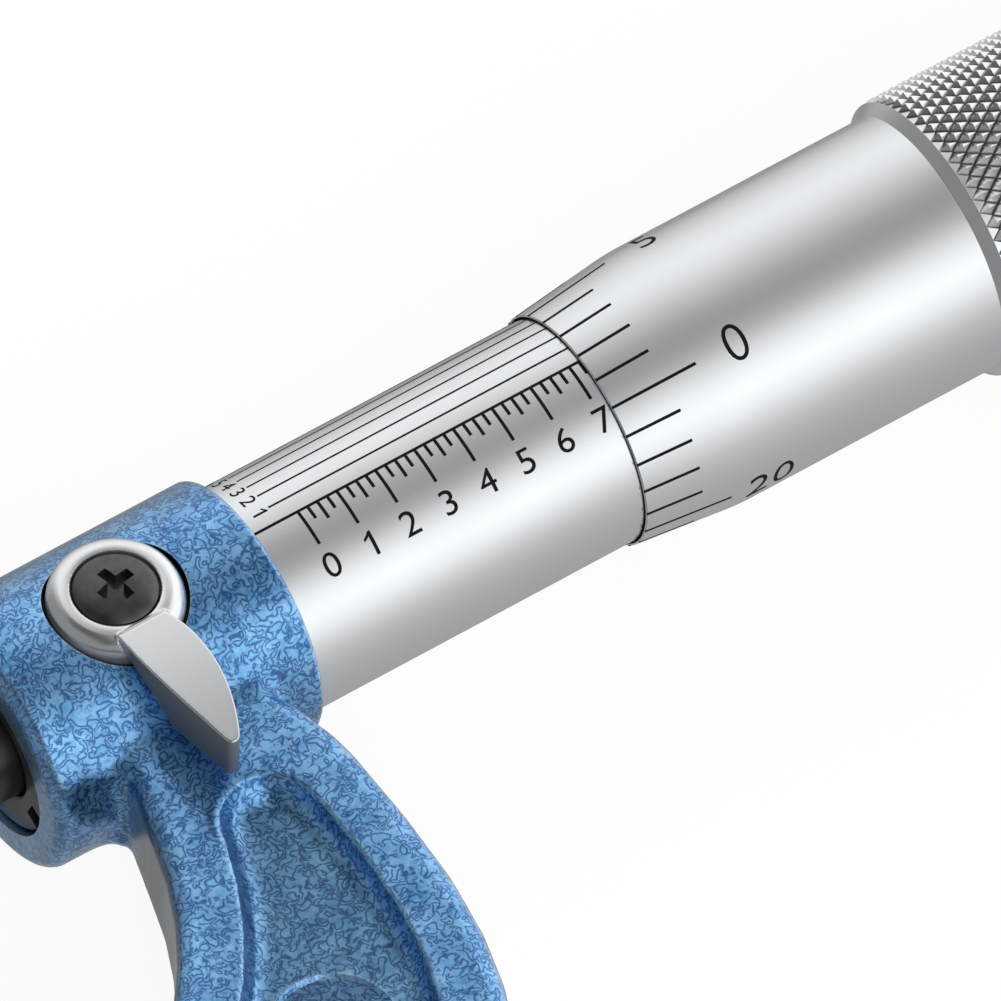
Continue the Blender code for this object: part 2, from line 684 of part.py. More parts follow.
def make_lever():
    """The lock lever: a round head over the stud with a leaf-shaped tail."""
    edge = LEVER_RING_ROUND
    radius = LEVER_RING_RADIUS
    # the head is turned about its own axis, which then stands upright
    head = turned(
        "lock_lever",
        [(0, radius)] + arc((LEVER_HEIGHT - edge, radius - edge), edge, 90, 0, 4),
        finish=POLISHED_STEEL,
    )
    head.rotation_euler = (0, 0, 0)
    head.location = (lock_x, 0, lever_z)

    tail = plate(
        "lever_tail", lever_tail_outline(), lever_z - LEVER_TAIL_DROP, lever_top_z, LEVER_EDGE,
        round_steps=1,
    )
    # the hollow under the tail clears the barrel at both ends of the lever's swing
    for swing in (0, LEVER_SWING):
        reach = lever_arch_radius
        arch = cylinder(
            f"lever_arch_{swing}", lever_arch_radius, -reach, reach,
            centre=(0, -LEVER_ARCH_DROP), sides=FINE,
        )
        turn = Matrix.Rotation(radians(swing), 4, "Z")
        arch.data.transform(Matrix.Translation((lock_x, 0, 0)) @ turn)
        combine(tail, arch)
    combine(head, tail, "UNION")

    pocket_radius = LOCK_HEAD_RADIUS + FIT_GAP
    top = lever_top_z + OVERCUT
    pocket = cylinder(
        "lock_head_pocket", pocket_radius, lock_floor_z, top, "Z", (lock_x, 0), MEDIUM
    )
    combine(head, pocket)
    # the washer lies in a pocket under the head
    pocket_radius = WASHER_RADIUS + FIT_GAP
    place = (lever_z - OVERCUT, washer_pocket_z)
    combine(head, cylinder("washer_pocket", pocket_radius, *place, "Z", (lock_x, 0), MEDIUM))
    half = STUD_SQUARE / 2 + FIT_GAP
    low = (lock_x - half, -half, washer_pocket_z - OVERCUT)
    high = (lock_x + half, half, lock_floor_z + OVERCUT)
    return combine(head, box("lever_square", low, high))


def make_lock_screw():
    """The domed screw with a cross recess that holds the lever on its stud."""
    start = lock_floor_z + FIT_GAP
    edge = start + LOCK_HEAD_EDGE
    shank_end = stud_bottom + FIT_GAP
    dome_radius = (LOCK_HEAD_RADIUS**2 + LOCK_HEAD_DOME**2) / (2 * LOCK_HEAD_DOME)
    lean = degrees(asin(LOCK_HEAD_RADIUS / dome_radius))
    dome = arc((edge + LOCK_HEAD_DOME - dome_radius, 0), dome_radius, lean, 0, 4)
    outer = [
        (shank_end, LOCK_SHANK_RADIUS),
        (start, LOCK_SHANK_RADIUS),
        (start, LOCK_HEAD_RADIUS),
        *dome[:-1],
        (dome[-1][0], DOME_POLE),
    ]
    screw = turned("lock_screw", outer, finish=BLACK_STEEL, sides=COARSE)
    screw.rotation_euler = (0, 0, 0)
    screw.location = (lock_x, 0, 0)
    half_width, half_span = CROSS_WIDTH / 2, CROSS_SPAN / 2
    low_z = edge + LOCK_HEAD_DOME - CROSS_DEPTH
    high_z = edge + LOCK_HEAD_DOME + OVERCUT
    along = box("cross_recess", (-half_span, -half_width, low_z), (half_span, half_width, high_z))
    across = box("cross_arm", (-half_width, -half_span, low_z), (half_width, half_span, high_z))
    combine(along, across, "UNION")
    turn = Matrix.Rotation(radians(CROSS_TURN), 4, "Z")
    for arm in (along, across):
        arm.data.transform(Matrix.Translation((lock_x, 0, 0)) @ turn)
    return combine(screw, along)


def make_lock_washer():
    """The thin washer between the lever and its seat, in a pocket under the lever's head."""
    outer, inner = WASHER_RADIUS, STUD_RADIUS + RUN_GAP
    profile = [(0, outer), (WASHER_THICKNESS, outer)], [(0, inner), (WASHER_THICKNESS, inner)]
    washer = turned("lock_washer", *profile, SPRING_STEEL)
    washer.rotation_euler = (0, 0, 0)
    washer.location = (lock_x, 0, washer_z)
    return washer


def make_inner_sleeve():
    """The fixed sleeve that guides the spindle; its slotted tail is the nut for the screw."""
    start = inner_sleeve_start
    radius = inner_sleeve_radius
    nut_start = tail_end - NUT_THREAD_LENGTH
    outer = [(start, radius), (sleeve_end, radius), (sleeve_end, tail_radius), (tail_end, tail_radius)]
    bore = [
        (start, spindle_bore_radius),
        (nut_start, spindle_bore_radius),
        (nut_start, thread_bore_radius),
        (tail_end, thread_bore_radius),
    ]
    sleeve = turned("inner_sleeve", outer, bore, POLISHED_STEEL)
    slots = []
    for i in range(TAIL_SLOTS):
        low = (sleeve_end + FIT_GAP, -TAIL_SLOT_WIDTH / 2, thread_bore_radius - OVERCUT)
        high = (tail_end + OVERCUT, TAIL_SLOT_WIDTH / 2, tail_radius + OVERCUT)
        slots.append(box("slot", low, high, 360 * i / TAIL_SLOTS))
    combine(sleeve, joined("tail_slots", slots))

    start = sleeve_end + RUN_GAP
    end = start + ADJUSTER_LENGTH
    inner = tail_radius + FIT_GAP
    ring = [(start, adjuster_radius), (end, adjuster_radius)], [(start, inner), (end, inner)]
    nut = turned("adjusting_nut", *ring, POLISHED_STEEL)
    slots = []
    for i in range(ADJUSTER_SLOTS):
        low = (end - ADJUSTER_SLOT_DEPTH, -ADJUSTER_SLOT_WIDTH / 2, inner - OVERCUT)
        high = (end + OVERCUT, ADJUSTER_SLOT_WIDTH / 2, adjuster_radius + OVERCUT)
        slots.append(box("slot", low, high, 360 * i / ADJUSTER_SLOTS))
    combine(nut, joined("adjuster_slots", slots))


def make_graduated_sleeve():
    """The outer sleeve that carries the scales and turns on the inner one to set zero."""
    start, end = barrel_end + FIT_GAP, sleeve_end
    inner = inner_sleeve_radius + FIT_GAP
    chamfer = EDGE_CHAMFER
    outer = [(start, SLEEVE_RADIUS), (end - chamfer, SLEEVE_RADIUS), (end, SLEEVE_RADIUS - chamfer)]
    sleeve = turned("graduated_sleeve", outer, [(start, inner), (end, inner)], SATIN_CHROME, FINE)
    centre = (start + SLEEVE_HOLE_INSET, 0)
    hole = cylinder("wrench_hole", SLEEVE_HOLE_RADIUS, -SLEEVE_RADIUS - OVERCUT, -inner / 2, "Z", centre)
    combine(sleeve, hole)


def make_spindle():
    """The spindle: ground front, threaded middle, and a cone and hole at the rear."""
    start = OPENING + TIP_LENGTH + FIT_GAP
    plain_end = thimble_x - THREAD_RELIEF
    end = thimble_x + thimble_length - FIT_GAP - RUN_GAP
    cone_start = end - CONE_LENGTH
    outer = [
        (start, SPINDLE_RADIUS),
        (plain_end, SPINDLE_RADIUS),
        (plain_end + SPINDLE_RADIUS - THREAD_RADIUS, THREAD_RADIUS),
        (cone_start, THREAD_RADIUS),
        (end, CONE_END_RADIUS),
    ]
    hole_bottom = end - SHANK_LENGTH - FIT_GAP
    hole = [(hole_bottom, 0), (hole_bottom, STEM_HOLE_RADIUS), (end, STEM_HOLE_RADIUS)]
    spindle = turned("spindle", outer, hole, POLISHED_STEEL)
    return spindle


def make_thimble():
    """The thimble, turned with its bevelled edge, knurled band and the web that grips the spindle."""
    end = thimble_length
    knurl_end = end - KNURL_BACK
    outer = [
        (0, thimble_edge_radius),
        (BEVEL_LENGTH, thimble_radius),
        (KNURL_START, thimble_radius),
        (KNURL_START + KNURL_LEAD, knurl_radius),
        (knurl_end - KNURL_CHAMFER, knurl_radius),
        (knurl_end, knurl_radius - KNURL_CHAMFER),
        (knurl_end, thimble_back_radius),
        (end - KNURL_CHAMFER, thimble_back_radius),
        (end, thimble_back_radius - KNURL_CHAMFER),
    ]
    # the hole in the web keeps the fit gap round the spindle's thread and its cone
    cone_start = end - FIT_GAP - RUN_GAP - CONE_LENGTH
    bore = [
        (0, thimble_bore_radius),
        (cavity_depth, thimble_bore_radius),
        (cavity_depth, THREAD_RADIUS + FIT_GAP),
        (cone_start, THREAD_RADIUS + FIT_GAP),
        (end - FIT_GAP - RUN_GAP, CONE_END_RADIUS + FIT_GAP),
        (end, CONE_END_RADIUS + FIT_GAP),
    ]
    thimble = turned("thimble", outer, bore, SATIN_CHROME, FINE)
    thimble.location.x = thimble_x
    return thimble


def saw_ring(name, inner, outer, base, face, direction, lag, finish=None):
    """A ring with saw teeth on one face: each tooth rises along the circle and drops straight back.

    base and face are places on the axis, direction is the way the teeth rise from the face, and lag
    turns the teeth back by some degrees, so that two mating rings clear each other's steps.
    """
    per_tooth = 4
    bm = bmesh.new()

    def station_points(i, x):
        angle = radians(i * 360 / (TEETH * per_tooth) + lag)
        return [bm.verts.new((x, r * sin(angle), r * cos(angle))) for r in (inner, outer)]

    # at each station: base, foot of the next ramp and top of the last one, on both rims
    stations = []
    for i in range(TEETH * per_tooth):
        climb = i % per_tooth / per_tooth
        foot = station_points(i, face + direction * TOOTH_HEIGHT * climb)
        top = foot if climb else station_points(i, face + direction * TOOTH_HEIGHT)
        stations.append((station_points(i, base), foot, top))
    for (base_a, foot_a, _), (base_b, foot_b, top_b) in zip(stations, stations[1:] + stations[:1]):
        bm.faces.new((*base_a, *reversed(base_b)))
        bm.faces.new((*foot_a, *reversed(top_b)))
        for rim in (0, 1):
            step = [foot_b[rim]] if top_b is not foot_b else []
            bm.faces.new((base_a[rim], foot_a[rim], top_b[rim], *step, base_b[rim]))
        if top_b is not foot_b:
            bm.faces.new((*foot_b, *reversed(top_b)))
    bmesh.ops.recalc_face_normals(bm, faces=bm.faces)
    mesh = bpy.data.meshes.new(name)
    bm.to_mesh(mesh)
    bm.free()
    return add_object(name, mesh, finish)


def make_ratchet():
    """The ratchet stop: a toothed stem screwed into the spindle, and a knob with a sprung pawl ring."""
    stem_start = thimble_x + thimble_length + RUN_GAP
    tooth_root = stem_start + FLANGE_THICKNESS
    knob_start = thimble_x + thimble_length + KNOB_SETBACK
    pawl_face = tooth_root + RUN_GAP
    pawl_end = pawl_face + PAWL_THICKNESS + TOOTH_HEIGHT
    spring_start = pawl_end + RUN_GAP
    cavity_end = spring_start + SPRING_LENGTH + RUN_GAP
    wall_end = cavity_end + KNOB_WALL
    journal_end = wall_end + RUN_GAP
    knob_end = wall_end + KNOB_SCREW_POCKET
    stem = make_stem(stem_start, tooth_root, journal_end)
    end_pieces = make_end_screw(journal_end)
    knob = make_knob(knob_start, cavity_end, wall_end, knob_end)
    pawl = make_pawl(pawl_face, pawl_end)
    spring = make_spring(spring_start, spring_start + SPRING_LENGTH)
    return stem, end_pieces, knob, pawl, spring


def make_stem(start, tooth_root, journal_end):
    """The stem: threaded shank, flange with saw teeth, journal for the knob and a tapped end."""
    outer = [
        (start - SHANK_LENGTH + FIT_GAP, SHANK_RADIUS),
        (start, SHANK_RADIUS),
        (start, FLANGE_RADIUS),
        (tooth_root, FLANGE_RADIUS),
        (tooth_root, STEM_RADIUS),
        (journal_end, STEM_RADIUS),
    ]
    radius = END_SCREW_SHANK_RADIUS + FIT_GAP
    hole_bottom = journal_end - END_SCREW_SHANK_LENGTH - FIT_GAP
    hole = [(hole_bottom, 0), (hole_bottom, radius), (journal_end, radius)]
    stem = turned("ratchet_stem", outer, hole, POLISHED_STEEL, COARSE)
    inner = STEM_RADIUS + RUN_GAP
    rim = FLANGE_RADIUS - FIT_GAP
    teeth = saw_ring("stem_teeth", inner, rim, tooth_root - FIT_GAP, tooth_root, 1, 0)
    return combine(stem, teeth, "UNION")


def make_pawl(face, end):
    """The pawl ring, whose teeth mesh with the stem's and whose keys slide in the knob."""
    lag = 2
    inner, outer = STEM_RADIUS + RUN_GAP, FLANGE_RADIUS
    pawl = saw_ring("ratchet_pawl", inner, outer, end, face, 1, lag, POLISHED_STEEL)
    half = PAWL_KEY_WIDTH / 2
    top = outer + PAWL_KEY_HEIGHT
    keys = box("pawl_keys", (face + 2 * TOOTH_HEIGHT, -half, -top), (end - FIT_GAP, half, top))
    web = cylinder("pawl_key_gap", (inner + outer) / 2, face - OVERCUT, end + OVERCUT)
    combine(keys, web)
    return combine(pawl, keys, "UNION", "MANIFOLD")


def make_spring(start, end):
    """The coil spring between the pawl ring and the knob's end wall."""
    steps = 12
    wire = SPRING_WIRE_RADIUS
    rise = (end - start - 2 * wire) / (SPRING_TURNS * steps)
    curve = bpy.data.curves.new("ratchet_spring", "CURVE")
    curve.dimensions = "3D"
    curve.bevel_depth = wire
    curve.bevel_resolution = 2
    curve.use_fill_caps = True
    spline = curve.splines.new("POLY")
    spline.points.add(SPRING_TURNS * steps)
    for i, point in enumerate(spline.points):
        angle = 2 * pi * i / steps
        x = start + wire + rise * i
        point.co = (x, SPRING_RADIUS * cos(angle), SPRING_RADIUS * sin(angle), 1.0)
    return curve_to_mesh("ratchet_spring", curve, Matrix.Identity(4), SPRING_STEEL)


def make_knob(start, cavity_end, wall_end, end):
    """The knob, a fluted cap with slots for the pawl's keys and a pocket for the end screw."""
    chamfer = KNOB_CHAMFER
    cavity = FLANGE_RADIUS + RUN_GAP
    pocket = END_WASHER_RADIUS + RUN_GAP
    outer = [
        (start, KNOB_RADIUS - chamfer),
        (start + chamfer, KNOB_RADIUS),
        (end - chamfer, KNOB_RADIUS),
        (end, KNOB_RADIUS - chamfer),
    ]
    bore = [
        (start, cavity),
        (cavity_end, cavity),
        (cavity_end, STEM_RADIUS + RUN_GAP),
        (wall_end, STEM_RADIUS + RUN_GAP),
        (wall_end, pocket),
        (end, pocket),
    ]
    knob = turned("ratchet_knob", outer, bore, SATIN_CHROME)
    half = PAWL_KEY_WIDTH / 2 + RUN_GAP
    top = FLANGE_RADIUS + PAWL_KEY_HEIGHT + RUN_GAP
    low = (start + chamfer + FLANGE_THICKNESS / 2, -half, -top)
    combine(knob, box("key_slots", low, (cavity_end, half, top)))
    reach = KNOB_RADIUS + KNOB_FLUTE_RADIUS / 3
    flutes = []
    for i in range(KNOB_FLUTES):
        angle = 2 * pi * (i + 0.5) / KNOB_FLUTES
        centre = (reach * cos(angle), reach * sin(angle))
        place = (start - OVERCUT, end + OVERCUT)
        flutes.append(cylinder("flute", KNOB_FLUTE_RADIUS, *place, centre=centre, sides=6))
    return combine(knob, joined("knob_flutes", flutes))


def make_end_screw(journal_end):
    """The slotted screw and washer that keep the knob on its journal."""
    washer_start = journal_end + FIT_GAP
    washer_end = washer_start + END_WASHER_THICKNESS
    radius = END_SCREW_SHANK_RADIUS
    washer = turned(
        "end_washer",
        [(washer_start, END_WASHER_RADIUS), (washer_end, END_WASHER_RADIUS)],
        [(washer_start, radius + FIT_GAP), (washer_end, radius + FIT_GAP)],
        SPRING_STEEL,
    )
    start = washer_end + FIT_GAP
    end = start + END_SCREW_HEAD
    chamfer = EDGE_CHAMFER
    outer = [
        (journal_end - END_SCREW_SHANK_LENGTH, radius),
        (start, radius),
        (start, END_SCREW_RADIUS),
        (end - chamfer, END_SCREW_RADIUS),
        (end, END_SCREW_RADIUS - chamfer),
    ]
    screw = turned("end_screw", outer, finish=POLISHED_STEEL, sides=COARSE)
    half = SCREW_SLOT_WIDTH / 2
    reach = END_SCREW_RADIUS + OVERCUT
    slot = box("screw_slot", (end - SCREW_SLOT_DEPTH, -half, -reach), (end + OVERCUT, half, reach))
    combine(screw, slot)
    return screw, washer


def finish_pieces():
    """Shade every piece smooth, with its real edges left sharp."""
    depsgraph = bpy.context.evaluated_depsgraph_get()
    finished = {
        obj: bpy.data.meshes.new_from_object(obj.evaluated_get(depsgraph))
        for obj in PARTS.objects
        if obj.type == "MESH"
    }
    for obj, mesh in finished.items():
        obj.modifiers.clear()
        obj.data = mesh
        mesh.name = obj.name
        mesh.shade_smooth()
        mesh.set_sharp_from_angle(angle=radians(30))


def build():
    make_frame()
    make_anvil()
    make_gland()
    make_collar()
    make_lock()
    make_inner_sleeve()
    make_graduated_sleeve()

    carriage = moving_group("spindle_axis", (OPENING, 0, 0))
    carry(carriage, make_tip("spindle_tip", OPENING, 1))
    turning = moving_group("thimble_axis", (thimble_x, 0, 0))
    stem, end_pieces, knob, pawl, spring = make_ratchet()
    carry(turning, make_spindle(), make_thimble(), stem, *end_pieces)
    knob_group = moving_group("knob_axis", (thimble_x + thimble_length, 0, 0))
    carry(knob_group, knob, pawl, spring)
    finish_pieces()


build()
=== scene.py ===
"""The looks of an outside micrometer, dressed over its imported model.

Sizes are in metres. +X runs along the spindle from the anvil to the ratchet knob, +Z out of the
frame's front face, and the throat lies towards -Y.
"""
from math import cos, pi, radians, sin

import bmesh
import bpy
import numpy as np
from mathutils import Matrix, Vector
from mathutils.kdtree import KDTree


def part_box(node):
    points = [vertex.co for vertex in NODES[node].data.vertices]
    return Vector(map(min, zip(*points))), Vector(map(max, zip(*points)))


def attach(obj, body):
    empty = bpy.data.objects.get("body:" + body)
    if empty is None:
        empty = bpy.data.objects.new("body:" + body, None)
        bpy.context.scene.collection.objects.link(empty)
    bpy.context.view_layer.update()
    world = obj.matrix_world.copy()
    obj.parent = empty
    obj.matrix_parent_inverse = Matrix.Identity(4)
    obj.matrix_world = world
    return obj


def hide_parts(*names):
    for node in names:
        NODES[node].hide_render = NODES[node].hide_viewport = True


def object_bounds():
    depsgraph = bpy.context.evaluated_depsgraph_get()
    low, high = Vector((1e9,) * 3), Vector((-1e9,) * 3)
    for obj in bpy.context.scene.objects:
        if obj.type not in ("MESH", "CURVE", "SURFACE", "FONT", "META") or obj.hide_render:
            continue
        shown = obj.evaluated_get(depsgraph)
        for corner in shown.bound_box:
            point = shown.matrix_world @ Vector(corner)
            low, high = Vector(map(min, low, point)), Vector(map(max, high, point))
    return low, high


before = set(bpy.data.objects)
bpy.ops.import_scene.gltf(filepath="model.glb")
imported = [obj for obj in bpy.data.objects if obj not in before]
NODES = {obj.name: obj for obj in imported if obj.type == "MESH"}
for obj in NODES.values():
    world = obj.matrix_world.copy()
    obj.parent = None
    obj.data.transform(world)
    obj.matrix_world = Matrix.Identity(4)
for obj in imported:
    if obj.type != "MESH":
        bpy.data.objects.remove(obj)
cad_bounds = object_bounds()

MM = 0.001
FULL_TURN = 2 * pi

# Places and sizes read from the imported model
sleeve_low, sleeve_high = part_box("graduated_sleeve")
thimble_low, thimble_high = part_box("thimble")
tip_low, tip_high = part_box("spindle_tip")
spindle_low, spindle_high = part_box("spindle")
anvil_low, anvil_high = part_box("anvil")
anvil_tip_low, anvil_tip_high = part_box("anvil_tip")
gland_low, gland_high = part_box("spindle_gland")
knob_low, knob_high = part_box("ratchet_knob")
screw_low, screw_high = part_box("end_screw")
lever_low, lever_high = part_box("lock_lever")
lock_low, lock_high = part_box("lock_screw")
frame_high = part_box("frame")[1]
SLEEVE_RADIUS = sleeve_high.z
SPINDLE_RADIUS = tip_high.z
BARREL_RADIUS = frame_high.z
BARREL_END = frame_high.x
THIMBLE_EDGE = thimble_low.x
LOCK_X = (lever_low.x + lever_high.x) / 2

# Scales on the sleeve
INCH = 25.4 * MM
SCALE_ZERO = THIMBLE_EDGE - tip_low.x
DATUM_ARC = -0.21 * MM  # the datum line, measured round the sleeve from its crown
TICK_STEP = INCH / 40
TICK_WIDTH = 0.19 * MM
LONG_TICK = 2.25 * MM
MEDIUM_TICK = 1.2 * MM
SHORT_TICK = 0.86 * MM
DATUM_LENGTH = 30 * MM
DIGIT_HEIGHT = 1.42 * MM
DIGIT_ARC = -3.78 * MM
DIGIT_SHIFT = 0.05 * MM  # the digits stand this far past their ticks
FINE_LINE_STEP = radians(9.45) * SLEEVE_RADIUS
FINE_LINE_START = SCALE_ZERO - 1.17 * MM
FINE_LINE_WIDTH = 0.12 * MM
FINE_LINE_LENGTH = 28.5 * MM
FINE_DIGIT_HEIGHT = 0.9 * MM
FINE_DIGIT_PLACE = FINE_LINE_START - 0.58 * MM
WRENCH_HOLE = 0.8 * MM
WRENCH_HOLE_PLACE = 3.2 * MM

# Thimble
BEVEL_LENGTH = 6.4 * MM
THIMBLE_RADIUS = 7.8 * MM
EDGE_RADIUS = 7.08 * MM
THIMBLE_BORE = 6.96 * MM
CAVITY_LENGTH = 38.5 * MM
WEB_HOLE = 3.1 * MM
KNURL_START = 23.15 * MM
KNURL_BACK = 3.0 * MM
KNURL_RADIUS = thimble_high.z
KNURL_LEAD = 0.65 * MM  # cone before the knurl
KNURL_DEPTH = 0.32 * MM
KNURL_ROOT = KNURL_RADIUS - KNURL_DEPTH
KNURL_WIDTH = 0.84 * MM
KNURL_LENGTH = 1.25 * MM
BACK_RADIUS = 7.2 * MM
DIVISIONS = 25
ZERO_ANGLE = radians(-28.9)  # the 0 line, from the crown; negative is towards -Y
MAJOR_LINE = 5.3 * MM
MINOR_LINE = 3.4 * MM
THIMBLE_LINE_WIDTH = 0.17 * MM
NUMERAL_HEIGHT = 1.95 * MM
NUMERAL_PLACE = 7.88 * MM  # from the thimble's edge
NUMERAL_WIDER = 1.08  # how much wider the numerals are than the font's
NUMERAL_THINNER = 0.01  # taken off the thimble's numerals, as a share of their size

# Spindle and ratchet knob
THREAD_RADIUS = 3.0 * MM
THREAD_RELIEF = 2.0 * MM  # from the plain part's end to the thimble's edge
CONE_LENGTH = 4.5 * MM
CONE_END = 2.4 * MM
FLUTES = 30
FLUTE_DEPTH = 0.36 * MM
KNOB_CAVITY = 4.55 * MM
KNOB_BORE = 2.15 * MM
HEAD_BORE = 3.25 * MM  # in the knob, for the end screw's washer
SHANK_RADIUS = 0.9 * MM
HEAD_HEIGHT = 1.4 * MM

# Frame
NOSE_FACE = gland_low.x - 0.4 * MM
NOSE_DEPTH = 3.2 * MM
NOSE_BORE = 5.5 * MM
NOSE_ROUND = 0.9 * MM
MAIN_BORE = 5.75 * MM
MAIN_START = NOSE_FACE + 5.6 * MM
BARREL_END_ROUND = 0.45 * MM
RUN_BORE = SPINDLE_RADIUS + 0.3 * MM
BOSS_FACE = -4.2 * MM
STUD_BORE = 1.95 * MM
PANEL_FLOOR = 2.2 * MM
DISC_RADIUS = 3.6 * MM
DISC_CENTRE = (34.82 * MM, -27.15 * MM)
DISC_DEPTH = 0.25 * MM
DISC_SLOPE = 0.24 * MM
GLAND_SLOT_TURN = 22.5  # degrees

# How the casting's edges are rounded
CASTING_VOXEL = 0.28 * MM
EDGE_ROUNDS = 14
WHOLE_ROUNDS = 2  # the edge rounds that also move the outline
FILLET_ROUNDS = 48
OUTLINE_REACH = 0.9 * MM  # nearer to the outline's walls nothing moves, at twice this all does
ARM_WIDER = 0.43 * MM  # given back to the outline of the knob-side arm
PANEL_WIDER = 0.35 * MM
ARM_TOP = (-7.8 * MM, -11.8 * MM)  # where that fades in, from the barrel down
ARM_FOOT = (-42 * MM, -34 * MM)  # and out again at the bottom
ARM_SIDE = (12 * MM, 18 * MM)  # and in from the anvil's side
WALL_TOP = (-8.6 * MM, -10.2 * MM)  # where the bare walls start under the barrel

# Lever and its screw
LEVER_VOXEL = 0.07 * MM
LEVER_ROUNDS = 6
LEVER_SEAT = 6.35 * MM
LEVER_RING = 3.85 * MM
SEAT_MARGIN = 0.19 * MM
RING_ROUND = 1.15 * MM
RING_INNER_ROUND = 0.62 * MM
RING_BELOW = 0.17 * MM  # the ring's top below the blade's
HEAD_POCKET = 2.52 * MM
HEAD_POCKET_DEPTH = 0.85 * MM
SQUARE_HOLE = 1.6 * MM
WASHER_POCKET = 3.1 * MM
BLADE_START = 2.7 * MM  # from the ring's centre to the straight start of the blade
BLADE_TIP_LOW = 5.25 * MM
ARCH_RADIUS = 8.45 * MM
ARCH_GAP = 0.1 * MM  # between the barrel and the blade when the lock is open
OPEN_ANGLE = radians(30)
BLADE_BOW = 60 * MM  # radius of the bow along the blade's top
BOW_DEPTH = 1.5 * MM  # how deep under the top the bow still moves the blade
BLADE_LEAN = 0.02  # fall of the top towards the left
SCREW_RADIUS = 2.40 * MM
SCREW_SHANK = 0.75 * MM
SCREW_HEAD = 1.1 * MM
SCREW_DOME = 0.55 * MM
CROSS_TURN = 12  # degrees
CROSS_LENGTH = 1.15 * MM
CROSS_WIDTH = 0.31 * MM
CROSS_DEPTH = 0.75 * MM

# Ink
INK_RISE = 0.012 * MM  # the filled lines stand this little above the metal
INK_DEPTH = 0.06 * MM
INK_LEVEL = INK_RISE - INK_DEPTH / 2
BEND_STEP = 0.3 * MM  # width of the strips in which numerals bend round the axis

NEAR_ZERO = 1e-7


def add_object(name, data):
    obj = bpy.data.objects.new(name, data)
    bpy.context.scene.collection.objects.link(obj)
    return obj


def object_from(name, bm):
    """A new object with what a bmesh holds, with its faces turned outward."""
    bmesh.ops.recalc_face_normals(bm, faces=bm.faces)
    mesh = bpy.data.meshes.new(name)
    bm.to_mesh(mesh)
    bm.free()
    return add_object(name, mesh)


def smooth(obj, angle=30):
    """Smooth shading with the real edges left sharp."""
    obj.data.shade_smooth()
    obj.data.set_sharp_from_angle(angle=radians(angle))
    return obj


def evaluated_mesh(obj):
    depsgraph = bpy.context.evaluated_depsgraph_get()
    return bpy.data.meshes.new_from_object(obj.evaluated_get(depsgraph))


def bake(obj):
    """Apply every modifier by swapping in the evaluated mesh."""
    mesh = evaluated_mesh(obj)
    obj.modifiers.clear()
    old = obj.data
    obj.data = mesh
    mesh.name = obj.name
    if old.users == 0:
        bpy.data.meshes.remove(old)
    return obj


def cut(obj, tool):
    """Cut the piece with a closed shape, and throw the shape away."""
    modifier = obj.modifiers.new("cut", "BOOLEAN")
    modifier.operation = "DIFFERENCE"
    modifier.object = tool
    modifier.solver = "EXACT"
    bake(obj)
    bpy.data.objects.remove(tool)
    return obj


def even_skin(obj, voxel):
    """One skin of small even faces round all that the mesh holds."""
    modifier = obj.modifiers.new("even_skin", "REMESH")
    modifier.mode = "VOXEL"
    modifier.voxel_size = voxel
    return bake(obj)


# Node trees

SOCKETS = {float: "NodeSocketFloat", int: "NodeSocketInt", tuple: "NodeSocketVector"}


def node_tree(name, kind, inputs, outputs):
    """A node group. Each input has a value, or the name of a socket type that needs none."""
    tree = bpy.data.node_groups.new(name, kind)
    for label, value in inputs.items():
        socket = SOCKETS.get(type(value))
        item = tree.interface.new_socket(label, in_out="INPUT", socket_type=socket or value)
        if socket:
            item.default_value = value
    for label, socket in outputs.items():
        tree.interface.new_socket(label, in_out="OUTPUT", socket_type=socket)
    return tree


def wire(tree, node, wires):
    """Set a node's inputs to values, or wire them to sockets."""
    for socket, value in wires.items():
        if isinstance(value, bpy.types.NodeSocket):
            tree.links.new(value, node.inputs[socket])
        else:
            node.inputs[socket].default_value = value


def add(tree, kind, wires=None, **settings):
    """A node with its settings and inputs."""
    node = tree.nodes.new(kind)
    for key, value in settings.items():
        setattr(node, key, value)
    wire(tree, node, wires or {})
    return node


def result(tree, kind, wires=None, **settings):
    """The first output of a new node."""
    return add(tree, kind, wires, **settings).outputs[0]


def given_to(tree):
    return add(tree, "NodeGroupInput").outputs


def calc(tree, operation, *values):
    """A Math node's result."""
    return result(tree, "ShaderNodeMath", dict(enumerate(values)), operation=operation)


def times(tree, *values):
    return calc(tree, "MULTIPLY", *values)


def plus(tree, *values):
    return calc(tree, "ADD", *values)


def minus(tree, *values):
    return calc(tree, "SUBTRACT", *values)


def vector(tree, operation, *values):
    """A Vector Math node's result."""
    node = add(tree, "ShaderNodeVectorMath", dict(enumerate(values)), operation=operation)
    return node.outputs["Value" if operation == "LENGTH" else "Vector"]


def spread(tree, value, low, high, to_low=0.0, to_high=1.0, kind="LINEAR"):
    """A Map Range node's result."""
    wires = {0: value, 1: low, 2: high, 3: to_low, 4: to_high}
    return result(tree, "ShaderNodeMapRange", wires, interpolation_type=kind)


def eased_spread(tree, value, low, high):
    return spread(tree, value, low, high, kind="SMOOTHSTEP")


def join_xyz(tree, x, y, z):
    return result(tree, "ShaderNodeCombineXYZ", {0: x, 1: y, 2: z})


def split_xyz(tree, value):
    return add(tree, "ShaderNodeSeparateXYZ", {0: value}).outputs


# Shapes turned on a lathe


